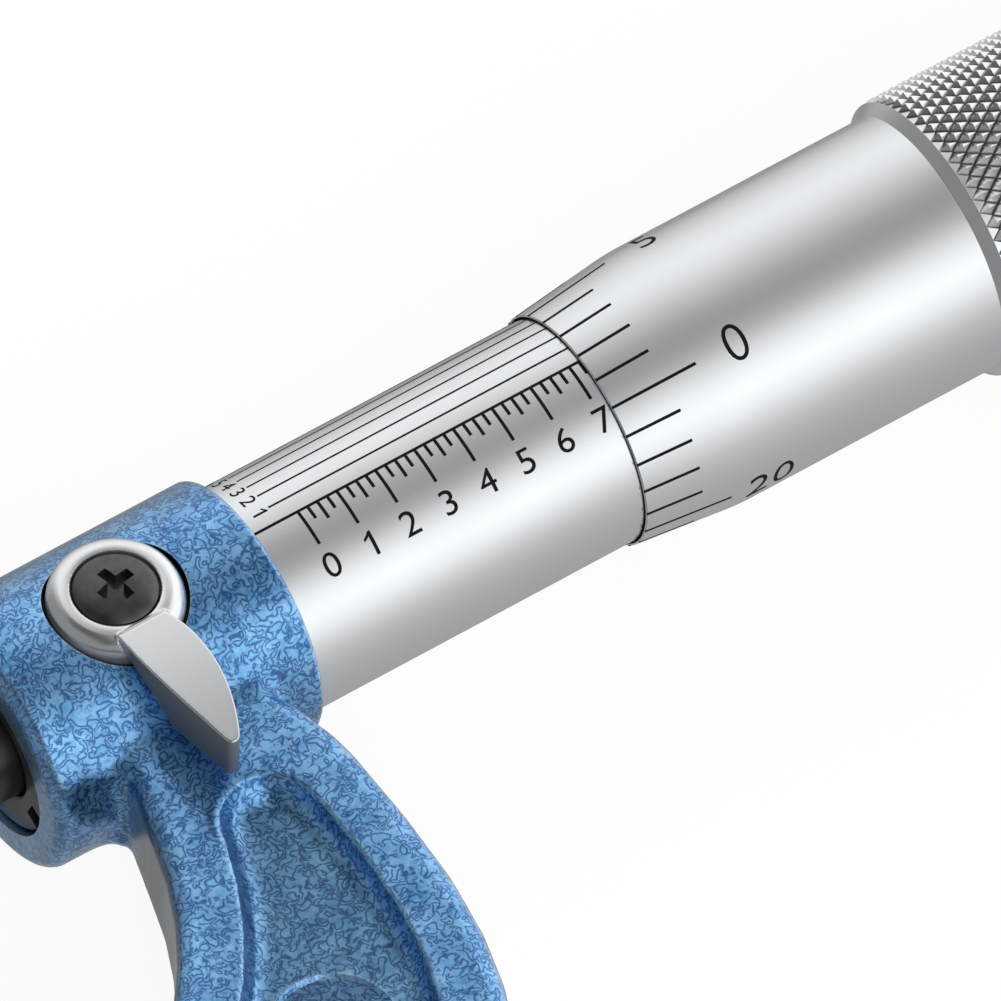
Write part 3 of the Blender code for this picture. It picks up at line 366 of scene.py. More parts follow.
def eased(profile, steps=3):
    """A profile of (along, radius) points; a third number rounds the corner by that much."""
    points = []
    for i, (x, r, *rounding) in enumerate(profile):
        here = Vector((x, r))
        before = Vector(profile[i - 1][:2]) - here
        after = Vector(profile[(i + 1) % len(profile)][:2]) - here
        reach = min(*rounding, before.length * 0.45, after.length * 0.45) if rounding else 0
        if reach < NEAR_ZERO:
            points.append((x, r))
            continue
        start = here + before.normalized() * reach
        end = here + after.normalized() * reach
        for k in range(steps + 1):
            t = k / steps
            points.append(start * (1 - t) ** 2 + here * 2 * t * (1 - t) + end * t * t)
    return points


def turned(name, profile, sides=112, solid=False, ripple=None):
    """Turn a closed profile round the X axis.

    A solid profile has its ends closed at the axis, and points there become poles. ripple gives
    a factor on the radius at an angle.
    """
    if solid:
        profile = [(profile[0][0], 0), *profile, (profile[-1][0], 0)]
    bm = bmesh.new()
    rings = []
    for x, r in eased(profile):
        if r < NEAR_ZERO:
            rings.append([bm.verts.new((x, 0, 0))])
            continue
        ring = []
        for k in range(sides):
            angle = FULL_TURN * k / sides
            radius = r * ripple(r, angle) if ripple else r
            ring.append(bm.verts.new((x, radius * sin(angle), radius * cos(angle))))
        rings.append(ring)
    for ring, following in zip(rings, rings[1:] + rings[:1]):
        if len(ring) == 1 and len(following) == 1:
            continue
        for k in range(sides):
            nxt = (k + 1) % sides
            corners = [ring[k % len(ring)], ring[nxt % len(ring)]]
            corners += [following[nxt % len(following)], following[k % len(following)]]
            bm.faces.new(dict.fromkeys(corners))
    return smooth(object_from(name, bm))


def stood_up(obj, x, y=0.0):
    """Stand a piece turned round X upright on the Z axis, at a place on the frame."""
    obj.data.transform(Matrix.Translation((x, y, 0)) @ Matrix.Rotation(radians(-90), 4, "Y"))
    return obj


def cylinder(radius, start, end, sides=96):
    """A plain cylinder along X, to cut or to fill with."""
    return turned("cylinder", [(start, radius), (end, radius)], sides, solid=True)


def bored_down(obj, radius, low, high, x=LOCK_X, sides=96):
    """Cut an upright hole through the axis, in the lever's place if no other is given."""
    return cut(obj, stood_up(cylinder(radius, low, high, sides), x))


def box(low, high):
    """A plain box to cut with."""
    bm = bmesh.new()
    bmesh.ops.create_cube(bm, size=1.0)
    low, high = Vector(low), Vector(high)
    size = Matrix.Diagonal((*(high - low), 1))
    bmesh.ops.transform(bm, matrix=Matrix.Translation((low + high) / 2) @ size, verts=bm.verts)
    return object_from("box", bm)


# Patterns that repeat, as geometry nodes

WRAP_INPUTS = {"Start": 0.0, "Start Radius": 0.01, "Taper": 0.0, "Full Radius": 0.01}
GEOMETRY = {"Geometry": "NodeSocketGeometry"}
MATERIAL = {"Material": "NodeSocketMaterial"}


def wrap_tree():
    """Wraps flat work (along, round, height) on a taper that ends in a cylinder, round X."""
    tree = node_tree("wrap_round_axis", "GeometryNodeTree", {**GEOMETRY, **WRAP_INPUTS}, GEOMETRY)
    given = given_to(tree)
    flat = split_xyz(tree, result(tree, "GeometryNodeInputPosition"))
    rise = times(tree, minus(tree, flat[0], given["Start"]), given["Taper"])
    radius = plus(tree, given["Start Radius"], rise)
    radius = plus(tree, calc(tree, "MINIMUM", radius, given["Full Radius"]), flat[2])
    angle = calc(tree, "DIVIDE", flat[1], given["Start Radius"])
    y = times(tree, radius, calc(tree, "SINE", angle))
    z = times(tree, radius, calc(tree, "COSINE", angle))
    wires = {"Geometry": given["Geometry"], "Position": join_xyz(tree, flat[0], y, z)}
    add(tree, "NodeGroupOutput", {0: result(tree, "GeometryNodeSetPosition", wires)})
    return tree


WRAP = wrap_tree()


def finish_tree(tree, geometry, given):
    """The end of each tree: instances made real, wrapped round the axis, with their material."""
    wires = {label: given[label] for label in WRAP_INPUTS}
    wires["Geometry"] = result(tree, "GeometryNodeRealizeInstances", {0: geometry})
    wires = {0: result(tree, "GeometryNodeGroup", wires, node_tree=WRAP)}
    wires["Material"] = given["Material"]
    add(tree, "NodeGroupOutput", {0: result(tree, "GeometryNodeSetMaterial", wires)})
    return tree


def scale_tree():
    """A row of filled lines: some are long, the ones half way between are medium."""
    inputs = {
        "Count": 10, "First": (0, 0, 0), "Step": (0, 0, 0), "Direction": 0.0, "Width": 0.0002,
        "Long": 0.002, "Medium": 0.001, "Short": 0.001, "Long Every": 4, "Medium Every": 2,
        "Depth": 0.0001, **MATERIAL, **WRAP_INPUTS,
    }
    tree = node_tree("scale_lines", "GeometryNodeTree", inputs, GEOMETRY)
    given = given_to(tree)
    wires = {"Count": given["Count"], "Start Location": given["First"], "Offset": given["Step"]}
    row = result(tree, "GeometryNodeMeshLine", wires)
    number = result(tree, "GeometryNodeInputIndex")
    length = given["Short"]
    for every, wanted in (("Medium Every", "Medium"), ("Long Every", "Long")):
        falls_on = calc(tree, "LESS_THAN", calc(tree, "MODULO", number, given[every]), 0.5)
        length = result(tree, "ShaderNodeMix", {0: falls_on, 2: length, 3: given[wanted]})
    # a bar of unit size that starts at its point and runs along +X, cut fine enough to bend
    wires = {"Size": (1, 1, 1), "Vertices X": 14, "Vertices Y": 2, "Vertices Z": 2}
    bar = result(tree, "GeometryNodeMeshCube", wires)
    bar = result(tree, "GeometryNodeTransform", {0: bar, "Translation": (0.5, 0, 0)})
    wires = {
        "Points": row,
        "Instance": bar,
        "Rotation": join_xyz(tree, 0.0, 0.0, given["Direction"]),
        "Scale": join_xyz(tree, length, given["Width"], given["Depth"]),
    }
    return finish_tree(tree, result(tree, "GeometryNodeInstanceOnPoints", wires), given)


def knurl_tree():
    """Rows of small diamond pyramids that fill a band round the axis."""
    inputs = {"Rows": 10, "Columns": 40, "Length": 0.001, "Width": 0.001, "Height": 0.0003}
    inputs = {**inputs, **MATERIAL, **WRAP_INPUTS}
    tree = node_tree("diamond_knurl", "GeometryNodeTree", inputs, GEOMETRY)
    given = given_to(tree)
    number = result(tree, "GeometryNodeInputIndex")
    total = times(tree, given["Rows"], given["Columns"])
    points = result(tree, "GeometryNodePoints", {"Count": total})
    row = calc(tree, "FLOOR", calc(tree, "DIVIDE", number, given["Columns"]))
    column = calc(tree, "MODULO", number, given["Columns"])
    shift = times(tree, calc(tree, "MODULO", row, 2.0), 0.5)
    half_length = times(tree, given["Length"], 0.5)
    half_width = times(tree, given["Width"], 0.5)
    along = plus(tree, given["Start"], times(tree, plus(tree, row, 1.0), half_length))
    around = times(tree, plus(tree, column, shift), given["Width"])
    wires = {"Geometry": points, "Position": join_xyz(tree, along, around, 0.0)}
    placed = result(tree, "GeometryNodeSetPosition", wires)
    wires = {"Vertices": 4, "Radius Top": 0.12, "Radius Bottom": 1.0, "Depth": 1.0}
    pyramid = result(tree, "GeometryNodeMeshCone", wires, fill_type="NGON")
    size = join_xyz(tree, half_length, half_width, given["Height"])
    wires = {"Points": placed, "Instance": pyramid, "Scale": size}
    return finish_tree(tree, result(tree, "GeometryNodeInstanceOnPoints", wires), given)


def grown(name, tree, settings):
    """A piece grown by a tree from named settings, as a plain mesh."""
    obj = add_object(name, bpy.data.meshes.new(name))
    modifier = obj.modifiers.new(tree.name, "NODES")
    modifier.node_group = tree
    for item in tree.interface.items_tree:
        if item.item_type == "SOCKET" and item.in_out == "INPUT" and item.name in settings:
            modifier[item.identifier] = settings[item.name]
    return bake(obj)


# Effects that several materials share, as shader groups

PLACE = {"Place": (0, 0, 0)}


def object_place(tree):
    return add(tree, "ShaderNodeTexCoord").outputs["Object"]


def noise(tree, place, size, detail=2.0, distortion=0.0, roughness=0.5):
    """Noise with features of about a size, from 0 to 1."""
    wires = {"Vector": place, "Scale": 1 / size, "Detail": detail, "Distortion": distortion}
    return result(tree, "ShaderNodeTexNoise", {**wires, "Roughness": roughness})


def pointiness(tree):
    return add(tree, "ShaderNodeNewGeometry").outputs["Pointiness"]


def vein_tree():
    """Thin winding lines of one width, where a noise passes its middle value.

    The distance to the line is the noise's offset from that value divided by its slope, which is
    taken between points a small step apart.
    """
    inputs = {**PLACE, "Scale": 1000.0, "Width": 0.0001, "Wander": 0.5, "Offset": (0, 0, 0)}
    tree = node_tree("crackle_veins", "ShaderNodeTree", inputs, {"Veins": SOCKETS[float]})
    given = given_to(tree)

    def field(place):
        wires = {"Vector": place, "Scale": given["Scale"], "Detail": 1.0, "Roughness": 0.4}
        return result(tree, "ShaderNodeTexNoise", {**wires, "Distortion": given["Wander"]})

    here = vector(tree, "ADD", given["Place"], given["Offset"])
    level = field(here)
    step = 0.02 * MM
    slopes = []
    for way in ((step, 0, 0), (0, step, 0), (0, 0, step)):
        rise = minus(tree, field(vector(tree, "ADD", here, way)), level)
        slopes.append(calc(tree, "DIVIDE", rise, step))
    slope = vector(tree, "LENGTH", join_xyz(tree, *slopes))
    away = calc(tree, "ABSOLUTE", minus(tree, level, 0.5))
    distance = calc(tree, "DIVIDE", away, calc(tree, "MAXIMUM", slope, 1.0))
    add(tree, "NodeGroupOutput", {0: eased_spread(tree, distance, given["Width"], 0.0)})
    return tree


def wear_tree():
    """Brighter metal where an edge stands out, from the surface's pointiness, broken by noise."""
    tree = node_tree(
        "edge_wear", "ShaderNodeTree", {**PLACE, "Start": 0.52}, {"Wear": SOCKETS[float]}
    )
    given = given_to(tree)
    edge = spread(tree, pointiness(tree), given["Start"], plus(tree, given["Start"], 0.06))
    rub = noise(tree, given["Place"], 0.6 * MM, detail=3.0)
    add(tree, "NodeGroupOutput", {0: times(tree, edge, spread(tree, rub, 0.35, 0.65))})
    return tree


def grain_tree():
    """Fine marks of turning and plating: a height and a roughness that change a little."""
    inputs = {**PLACE, "Roughness": 0.3, "Lathe": 0.0}
    outputs = {"Roughness": SOCKETS[float], "Height": SOCKETS[float]}
    tree = node_tree("metal_grain", "ShaderNodeTree", inputs, outputs)
    given = given_to(tree)
    speckle = noise(tree, given["Place"], 0.05 * MM)
    cloud = noise(tree, given["Place"], 3.0 * MM, detail=3.0)
    # turning marks: stretched noise that changes along X only
    drawn = vector(tree, "MULTIPLY", given["Place"], (1.0, 0.02, 0.02))
    rings = times(tree, minus(tree, noise(tree, drawn, 0.04 * MM), 0.5), given["Lathe"])
    rough = plus(tree, given["Roughness"], spread(tree, cloud, 0.2, 0.8, -0.02, 0.02))
    rough = plus(tree, rough, spread(tree, speckle, 0.2, 0.8, -0.015, 0.015))
    add(tree, "NodeGroupOutput", {0: rough, 1: plus(tree, times(tree, speckle, 0.4), rings)})
    return tree


VEINS = vein_tree()
WEAR = wear_tree()
GRAIN = grain_tree()


def group(tree, shared, **wires):
    return add(tree, "ShaderNodeGroup", wires, node_tree=shared).outputs


def new_material(name):
    """An empty material with its shader wired to the output."""
    material = bpy.data.materials.new(name)
    material.use_nodes = True
    tree = material.node_tree
    tree.nodes.clear()
    shader = add(tree, "ShaderNodeBsdfPrincipled")
    add(tree, "ShaderNodeOutputMaterial", {0: shader.outputs[0]})
    return material, tree, shader


def finish_with(tree, shader, **wires):
    """Set a shader's inputs, whose names are written with underscores."""
    wire(tree, shader, {label.replace("_", " "): value for label, value in wires.items()})


def mixed(tree, amount, first, second, blend="MIX"):
    """A colour between two colours, or another blend of them."""
    node = add(tree, "ShaderNodeMix", {0: amount}, data_type="RGBA", blend_type=blend)
    for socket, value in ((6, first), (7, second)):
        is_socket = isinstance(value, bpy.types.NodeSocket)
        wire(tree, node, {socket: value if is_socket else (*value, 1.0)})
    return node.outputs[2]


def bump(tree, height, strength, distance):
    wires = {"Height": height, "Strength": strength, "Distance": distance}
    return result(tree, "ShaderNodeBump", wires)


def grained(tree, place, roughness, lathe, strength):
    """The roughness and normal of metal with a fine grain, as a shader's inputs."""
    grain = group(tree, GRAIN, Place=place, Roughness=roughness, Lathe=lathe)
    return {"Roughness": grain[0], "Normal": bump(tree, grain[1], strength, 0.01 * MM)}


def plated(name, colour, roughness, lathe=0.0):
    """Bright metal, brighter where its edges rub: (material, tree, shader, colour socket)."""
    material, tree, shader = new_material(name)
    place = object_place(tree)
    wear = times(tree, group(tree, WEAR, Place=place)[0], 0.4)
    cloud = spread(tree, noise(tree, place, 4.0 * MM), 0.3, 0.7)
    tone = mixed(tree, cloud, [c * 0.985 for c in colour], colour)
    clean = mixed(tree, wear, tone, (0.9, 0.9, 0.9))
    finish = grained(tree, place, roughness, lathe, 0.12)
    finish_with(tree, shader, Base_Color=clean, Metallic=1.0, **finish)
    return material, tree, shader, clean


SATIN_CHROME = plated("satin_chrome", (0.86, 0.88, 0.90), 0.25, 0.5)[0]
GROUND_STEEL = plated("ground_steel", (0.62, 0.63, 0.65), 0.2, 1.0)[0]
CARBIDE = plated("carbide", (0.36, 0.37, 0.39), 0.16)[0]
SPRING_STEEL = plated("spring_steel", (0.4, 0.4, 0.42), 0.3)[0]


def lever_steel():
    """Polished lever whose side walls keep a darker finish that is also painted shade, darker and
    bluer low down as a painted reflection of the enamel; painted shade also darkens the polished
    top towards the tip.
    """
    material, tree, shader, clean = plated("lever_steel", (0.88, 0.88, 0.89), 0.22)
    side = add(tree, "ShaderNodeAttribute", attribute_name="side_finish_and_shade").outputs["Fac"]
    axes = split_xyz(tree, object_place(tree))
    # painted shade: the polished top darkens towards the tip
    shade_towards_tip = spread(tree, axes[1], -3.5 * MM, -10.5 * MM)
    polished = mixed(tree, shade_towards_tip, clean, (0.74, 0.74, 0.75))
    # the walls: a darker finish and painted shade, darkest and bluest low down as a painted
    # reflection of the enamel
    blotch = spread(tree, noise(tree, object_place(tree), 0.5 * MM), 0.3, 0.7, -0.1, 0.1)
    rise = plus(tree, spread(tree, axes[2], BLADE_TIP_LOW, lever_high.z), blotch)
    shaded_wall_tone = mixed(tree, rise, (0.08, 0.105, 0.15), (0.18, 0.18, 0.19))
    finish_with(
        tree, shader,
        Base_Color=mixed(tree, side, polished, shaded_wall_tone),
        Metallic=spread(tree, side, 0.0, 1.0, 1.0, 0.25),
        Roughness=spread(tree, side, 0.0, 1.0, 0.22, 0.5),
    )
    return material


def knurled_chrome():
    """The knurl's plating, with painted shade darkening the valleys between the points."""
    material, tree, shader, clean = plated("knurled_chrome", (0.86, 0.87, 0.89), 0.2)
    axes = split_xyz(tree, object_place(tree))
    square = plus(tree, calc(tree, "POWER", axes[1], 2.0), calc(tree, "POWER", axes[2], 2.0))
    radius = calc(tree, "SQRT", square)
    # painted shade: below the points the valleys turn dark grey
    raised = eased_spread(tree, radius, KNURL_ROOT, KNURL_ROOT + KNURL_DEPTH * 0.4)
    finish_with(tree, shader, Base_Color=mixed(tree, raised, (0.17, 0.17, 0.175), clean))
    return material


def oiled_spindle():
    """Ground steel with painted shade, darker where it runs into the nose."""
    material, tree, shader, clean = plated("oiled_spindle", (0.55, 0.56, 0.57), 0.24, 1.0)
    along = split_xyz(tree, object_place(tree))[0]
    # painted shade: the steel darkens and dulls towards the nose
    nose_shade = eased_spread(tree, along, NOSE_FACE - 4 * MM, NOSE_FACE - 1 * MM)
    finish_with(
        tree, shader,
        Base_Color=mixed(tree, nose_shade, clean, (0.13, 0.125, 0.12)),
        Roughness=spread(tree, nose_shade, 0.0, 1.0, 0.24, 0.38),
    )
    return material


NOSE_SHADED_SPINDLE = oiled_spindle()
LEVER_STEEL = lever_steel()
KNURLED_CHROME = knurled_chrome()


def dark_finish(name, colour, roughness, coat_weight, metallic=0.4):
    """Blackened steel, faintly mottled, with grey rubbed edges."""
    material, tree, shader = new_material(name)
    place = object_place(tree)
    wear = times(tree, group(tree, WEAR, Place=place, Start=0.54)[0], 0.25)
    cloud = spread(tree, noise(tree, place, 0.7 * MM, detail=3.0), 0.3, 0.7)
    tone = mixed(tree, cloud, colour, [c * 1.5 for c in colour])
    finish_with(
        tree, shader,
        Base_Color=mixed(tree, wear, tone, (0.12, 0.12, 0.125)),
        Metallic=metallic,
        Coat_Weight=coat_weight,
        Coat_Roughness=0.2,
        **grained(tree, place, roughness, 0.3, 0.2),
    )
    return material


BLACK_STEEL = dark_finish("black_steel", (0.03, 0.031, 0.033), 0.35, 0.3)
SCREW_BLACK = dark_finish("screw_black", (0.075, 0.077, 0.08), 0.24, 0.1, metallic=0.9)


def scale_ink():
    """Black filling of the engraved lines, slightly uneven."""
    material, tree, shader = new_material("scale_ink")
    cloud = noise(tree, object_place(tree), 0.1 * MM)
    ink = mixed(tree, cloud, (0.002, 0.002, 0.003), (0.008, 0.008, 0.009))
    finish_with(tree, shader, Base_Color=ink, Roughness=0.6, Specular_IOR_Level=0.12)
    return material


def oiled_felt():
    material, tree, shader = new_material("oiled_felt")
    fibres = noise(tree, object_place(tree), 0.08 * MM, detail=5.0, distortion=2.0)
    wool = mixed(tree, fibres, (0.16, 0.15, 0.13), (0.34, 0.32, 0.28))
    nap = bump(tree, fibres, 0.5, 0.05 * MM)
    finish_with(tree, shader, Base_Color=wool, Roughness=0.9, Normal=nap)
    return material


# The enamel's colours; of a pair, the patches run from the first to the second
LIGHT_BLUES = ((0.085, 0.31, 0.64), (0.23, 0.53, 0.88))
DEEP_BLUES = ((0.003, 0.065, 0.23), (0.012, 0.12, 0.36))
FLECK_BLUE = (0.38, 0.64, 0.93)
# the edge colour is a painted highlight; the floor, disc and seat colours are painted shade
EDGE_HIGHLIGHT_BLUE = (0.42, 0.64, 0.92)
FLOOR_PAINTED_SHADE = (0.66, 0.66, 0.64)
DISC_PAINTED_SHADE = (0.42, 0.45, 0.48)
WALL_GREY = (0.10, 0.12, 0.15)
SEAT_PAINTED_SHADE = (0.012, 0.013, 0.015)
VEIN_SETS = (
    {"Scale": 1 / (0.72 * MM), "Width": 0.10 * MM, "Wander": 0.9},
    {"Scale": 1 / (0.63 * MM), "Width": 0.09 * MM, "Wander": 1.3, "Offset": (0.013, 0.005, 0.009)},
)
VEIN_AREAS = ((0.40, 0.47), (0.52, 0.46))  # the noise at which each set fades in


def crackle_enamel():
    """Light blue enamel over the casting, with winding darker veins and cloudy patches, painted
    shade on the panels' floors, their discs and the lever's seat, and painted highlights on edges
    that stand out.

    The attribute "bare_wall" marks the walls of the C, which are plain grey without the pattern.
    """
    material, tree, shader = new_material("crackle_enamel")
    place = object_place(tree)
    # each set of lines has its own areas, so that lines end rather than cross
    areas = noise(tree, place, 0.75 * MM, detail=1.0)
    veins = [
        times(tree, group(tree, VEINS, Place=place, **lines)[0], spread(tree, areas, *limits))
        for lines, limits in zip(VEIN_SETS, VEIN_AREAS)
    ]
    veins = calc(tree, "MAXIMUM", *veins)
    patches = spread(tree, noise(tree, place, 2.0 * MM, detail=3.0, roughness=0.6), 0.35, 0.65)
    flecks = spread(tree, noise(tree, place, 0.35 * MM), 0.4, 0.7)
    light = mixed(tree, patches, *LIGHT_BLUES)
    light = mixed(tree, times(tree, flecks, 0.4), light, FLECK_BLUE)
    deep = mixed(tree, patches, *DEEP_BLUES)
    paint = mixed(tree, times(tree, veins, 0.94), light, deep)
    # painted shade: the panels' floors are a little greyer, and the discs in them darker
    level = split_xyz(tree, place)[2]
    height = calc(tree, "ABSOLUTE", level)
    normal = add(tree, "ShaderNodeTexCoord").outputs["Normal"]
    flat = spread(tree, calc(tree, "ABSOLUTE", split_xyz(tree, normal)[2]), 0.7, 0.95)
    floor_shade_share = times(tree, flat, spread(tree, height, 3.4 * MM, 2.3 * MM))
    disc_shade_share = spread(tree, height, 2.12 * MM, 1.95 * MM)
    shaded_floor = mixed(tree, 1.0, paint, mixed(tree, disc_shade_share, FLOOR_PAINTED_SHADE, DISC_PAINTED_SHADE), "MULTIPLY")
    paint = mixed(tree, floor_shade_share, paint, shaded_floor)
    # painted highlight: edges that stand out are lighter
    edge = times(tree, spread(tree, pointiness(tree), 0.512, 0.54), 0.5)
    paint = mixed(tree, edge, paint, EDGE_HIGHLIGHT_BLUE)
    wall = add(tree, "ShaderNodeAttribute", attribute_name="bare_wall").outputs["Fac"]
    paint = mixed(tree, wall, paint, WALL_GREY)
    # painted shade: the lever's seat round the ring is near black, and loses the coat
    from_lock = vector(tree, "SUBTRACT", place, (LOCK_X, 0, 0))
    reach = vector(tree, "LENGTH", vector(tree, "MULTIPLY", from_lock, (1, 1, 0)))
    seat = calc(tree, "LESS_THAN", reach, LEVER_RING + SEAT_MARGIN + 0.03 * MM)
    seat = times(tree, seat, calc(tree, "GREATER_THAN", level, LEVER_SEAT - 0.05 * MM))
    lumps = times(tree, noise(tree, place, 1.4 * MM, detail=3.0), 0.8)
    relief = minus(tree, lumps, times(tree, veins, 0.35))
    finish_with(
        tree, shader,
        Base_Color=mixed(tree, seat, paint, SEAT_PAINTED_SHADE),
        Metallic=0.87,
        Roughness=0.25,
        Coat_Weight=spread(tree, seat, 0.0, 1.0, 0.7, 0.0),
        Coat_Roughness=0.22,
        Coat_IOR=1.5,
        Normal=bump(tree, relief, 0.13, 0.08 * MM),
    )
    return material


INK = scale_ink()
FELT = oiled_felt()
ENAMEL = crackle_enamel()


def give(obj, material, body, replaces=None):
    """Finish a piece: its material, the body it rides on and the CAD node that it stands for."""
    obj.data.materials.clear()
    obj.data.materials.append(material)
    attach(obj, body)
    if replaces:
        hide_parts(replaces)
    return obj


# The points of a mesh, as arrays


def points_of(mesh):
    """Each point's place and normal."""
    places = np.array([v.co for v in mesh.vertices])
    return places, np.array([v.normal for v in mesh.vertices])


def set_points(mesh, places):
    mesh.vertices.foreach_set("co", places.ravel())
    mesh.update()


def fade(values, start, end):
    """0 up to the start and 1 from the end on; the end may lie on either side."""
    return np.clip((values - start) / (end - start), 0, 1)


def mark(mesh, name, values):
    """Keep a share for each point, which a material can read by its name."""
    mesh.attributes.new(name, "FLOAT", "POINT").data.foreach_set("value", values)


# The cast frame


def neighbour_average(places, first, second, counts):
    """The mean of each point's neighbours along the mesh's edges."""
    total = np.zeros_like(places)
    for axis in range(3):
        total[:, axis] += np.bincount(first, places[second, axis], len(places))
        total[:, axis] += np.bincount(second, places[first, axis], len(places))
    return total / counts[:, None]


def outline_freedom(places, normals):
    """How far each point may move sideways: not at all near the outline's walls, in plan."""
    wall = places[(np.abs(places[:, 2]) < 1.8 * MM) & (np.abs(normals[:, 2]) < 0.5)]
    tree = KDTree(len(wall))
    for number, (x, y, _) in enumerate(wall):
        tree.insert((x, y, 0), number)
    tree.balance()
    away = np.array([tree.find((x, y, 0))[2] for x, y, _ in places])
    return fade(away, OUTLINE_REACH, 2 * OUTLINE_REACH)


def soften(obj, rounds, fillet_rounds=0):
    """Round every edge a little, then fill the inner corners as a casting's fillets do.

    With fillets, the outline keeps its place: after the first rounds its edges only sink towards
    the middle of the C's thickness, and its corners keep their small fillets.
    """
    mesh = obj.data
    places = np.empty(len(mesh.vertices) * 3)
    mesh.vertices.foreach_get("co", places)
    places = places.reshape(-1, 3)
    edges = np.empty(len(mesh.edges) * 2, dtype=np.int64)
    mesh.edges.foreach_get("vertices", edges)
    first, second = edges[0::2], edges[1::2]
    counts = np.bincount(edges, minlength=len(places))

    def normals_now():
        set_points(mesh, places)
        normals = np.empty(len(places) * 3)
        mesh.vertex_normals.foreach_get("vector", normals)
        return normals.reshape(-1, 3)

    free = outline_freedom(places, normals_now()) if fillet_rounds else np.ones(1)
    for number in range(rounds):
        step = 0.5 * (neighbour_average(places, first, second, counts) - places)
        if number >= WHOLE_ROUNDS:
            step[:, :2] *= free[:, None]
        places += step
    for _ in range(fillet_rounds):
        normals = normals_now()
        step = neighbour_average(places, first, second, counts) - places
        outward = np.einsum("ij,ij->i", step, normals)
        facing = np.clip(np.abs(normals[:, 2]) * 3 - 0.3, 0.05, 1)
        amount = np.where(outward > 0, outward * facing, 0.1 * outward * free)
        places += amount[:, None] * normals * 0.5
    set_points(mesh, places)


def fill_out(mesh):
    """Give the knob-side arm back the width that its round edges take, and open the panels."""
    places, normals = points_of(mesh)
    x, y, _ = places.T
    free = outline_freedom(places, normals)
    arm = fade(y, *ARM_TOP) * fade(y, *ARM_FOOT)
    outline = arm * fade(x, *ARM_SIDE) * (1 - free) * ARM_WIDER
    places[:, :2] += (outline - arm * free * PANEL_WIDER)[:, None] * normals[:, :2]
    set_points(mesh, places)


def mark_bare_walls(mesh):
    """Mark the walls of the C, which stand square to its face, for the enamel's plain part."""
    places, normals = points_of(mesh)
    steep = fade(np.abs(normals[:, 2]), 0.6, 0.25)
    outer = 1 - outline_freedom(places, normals)
    mark(mesh, "bare_wall", steep * fade(places[:, 1], *WALL_TOP) * outer)


def merged_copy(node, name):
    """A welded copy of a CAD node, as a new piece."""
    copy = add_object(name, NODES[node].data.copy())
    bm = bmesh.new()
    bm.from_mesh(copy.data)
    bmesh.ops.remove_doubles(bm, verts=bm.verts, dist=2e-6)
    bm.to_mesh(copy.data)
    bm.free()
    if copy.data.has_custom_normals:
        with bpy.context.temp_override(object=copy, active_object=copy, selected_objects=[copy]):
            bpy.ops.mesh.customdata_custom_splitnormals_clear()
    return copy


def with_plug(obj, plug):
    """Add a closed shape to a mesh as loose geometry; the remesh then makes one skin of them."""
    bm = bmesh.new()
    bm.from_mesh(obj.data)
    bm.from_mesh(plug.data)
    bm.to_mesh(obj.data)
    bm.free()
    bpy.data.objects.remove(plug)


def disc_cutter():
    """Cuts the disc's recess with a small slope at its rim."""
    above = PANEL_FLOOR + 1 * MM
    profile = [
        (PANEL_FLOOR - DISC_DEPTH, DISC_RADIUS - DISC_SLOPE),
        (PANEL_FLOOR - DISC_SLOPE, DISC_RADIUS - DISC_SLOPE),
        (PANEL_FLOOR + 0.02 * MM, DISC_RADIUS),
        (above, DISC_RADIUS),
    ]
    return turned("disc_cutter", profile, 128, solid=True)


def end_trim(face, way, edge):
    """A cutter that leaves a crisp round edge where the barrel ends; way is the end's direction."""
    beyond = BARREL_RADIUS + 1 * MM
    trim = [(face - way * edge, beyond)]
    for i in range(7):
        lean = radians(15 * i)
        along = face - way * edge * (1 - sin(lean))
        trim.append((along, BARREL_RADIUS - edge + edge * cos(lean)))
    trim += [(face, 0), (face + way * 3 * MM, 0), (face + way * 3 * MM, beyond)]
    return turned("end_trim", trim, 128)


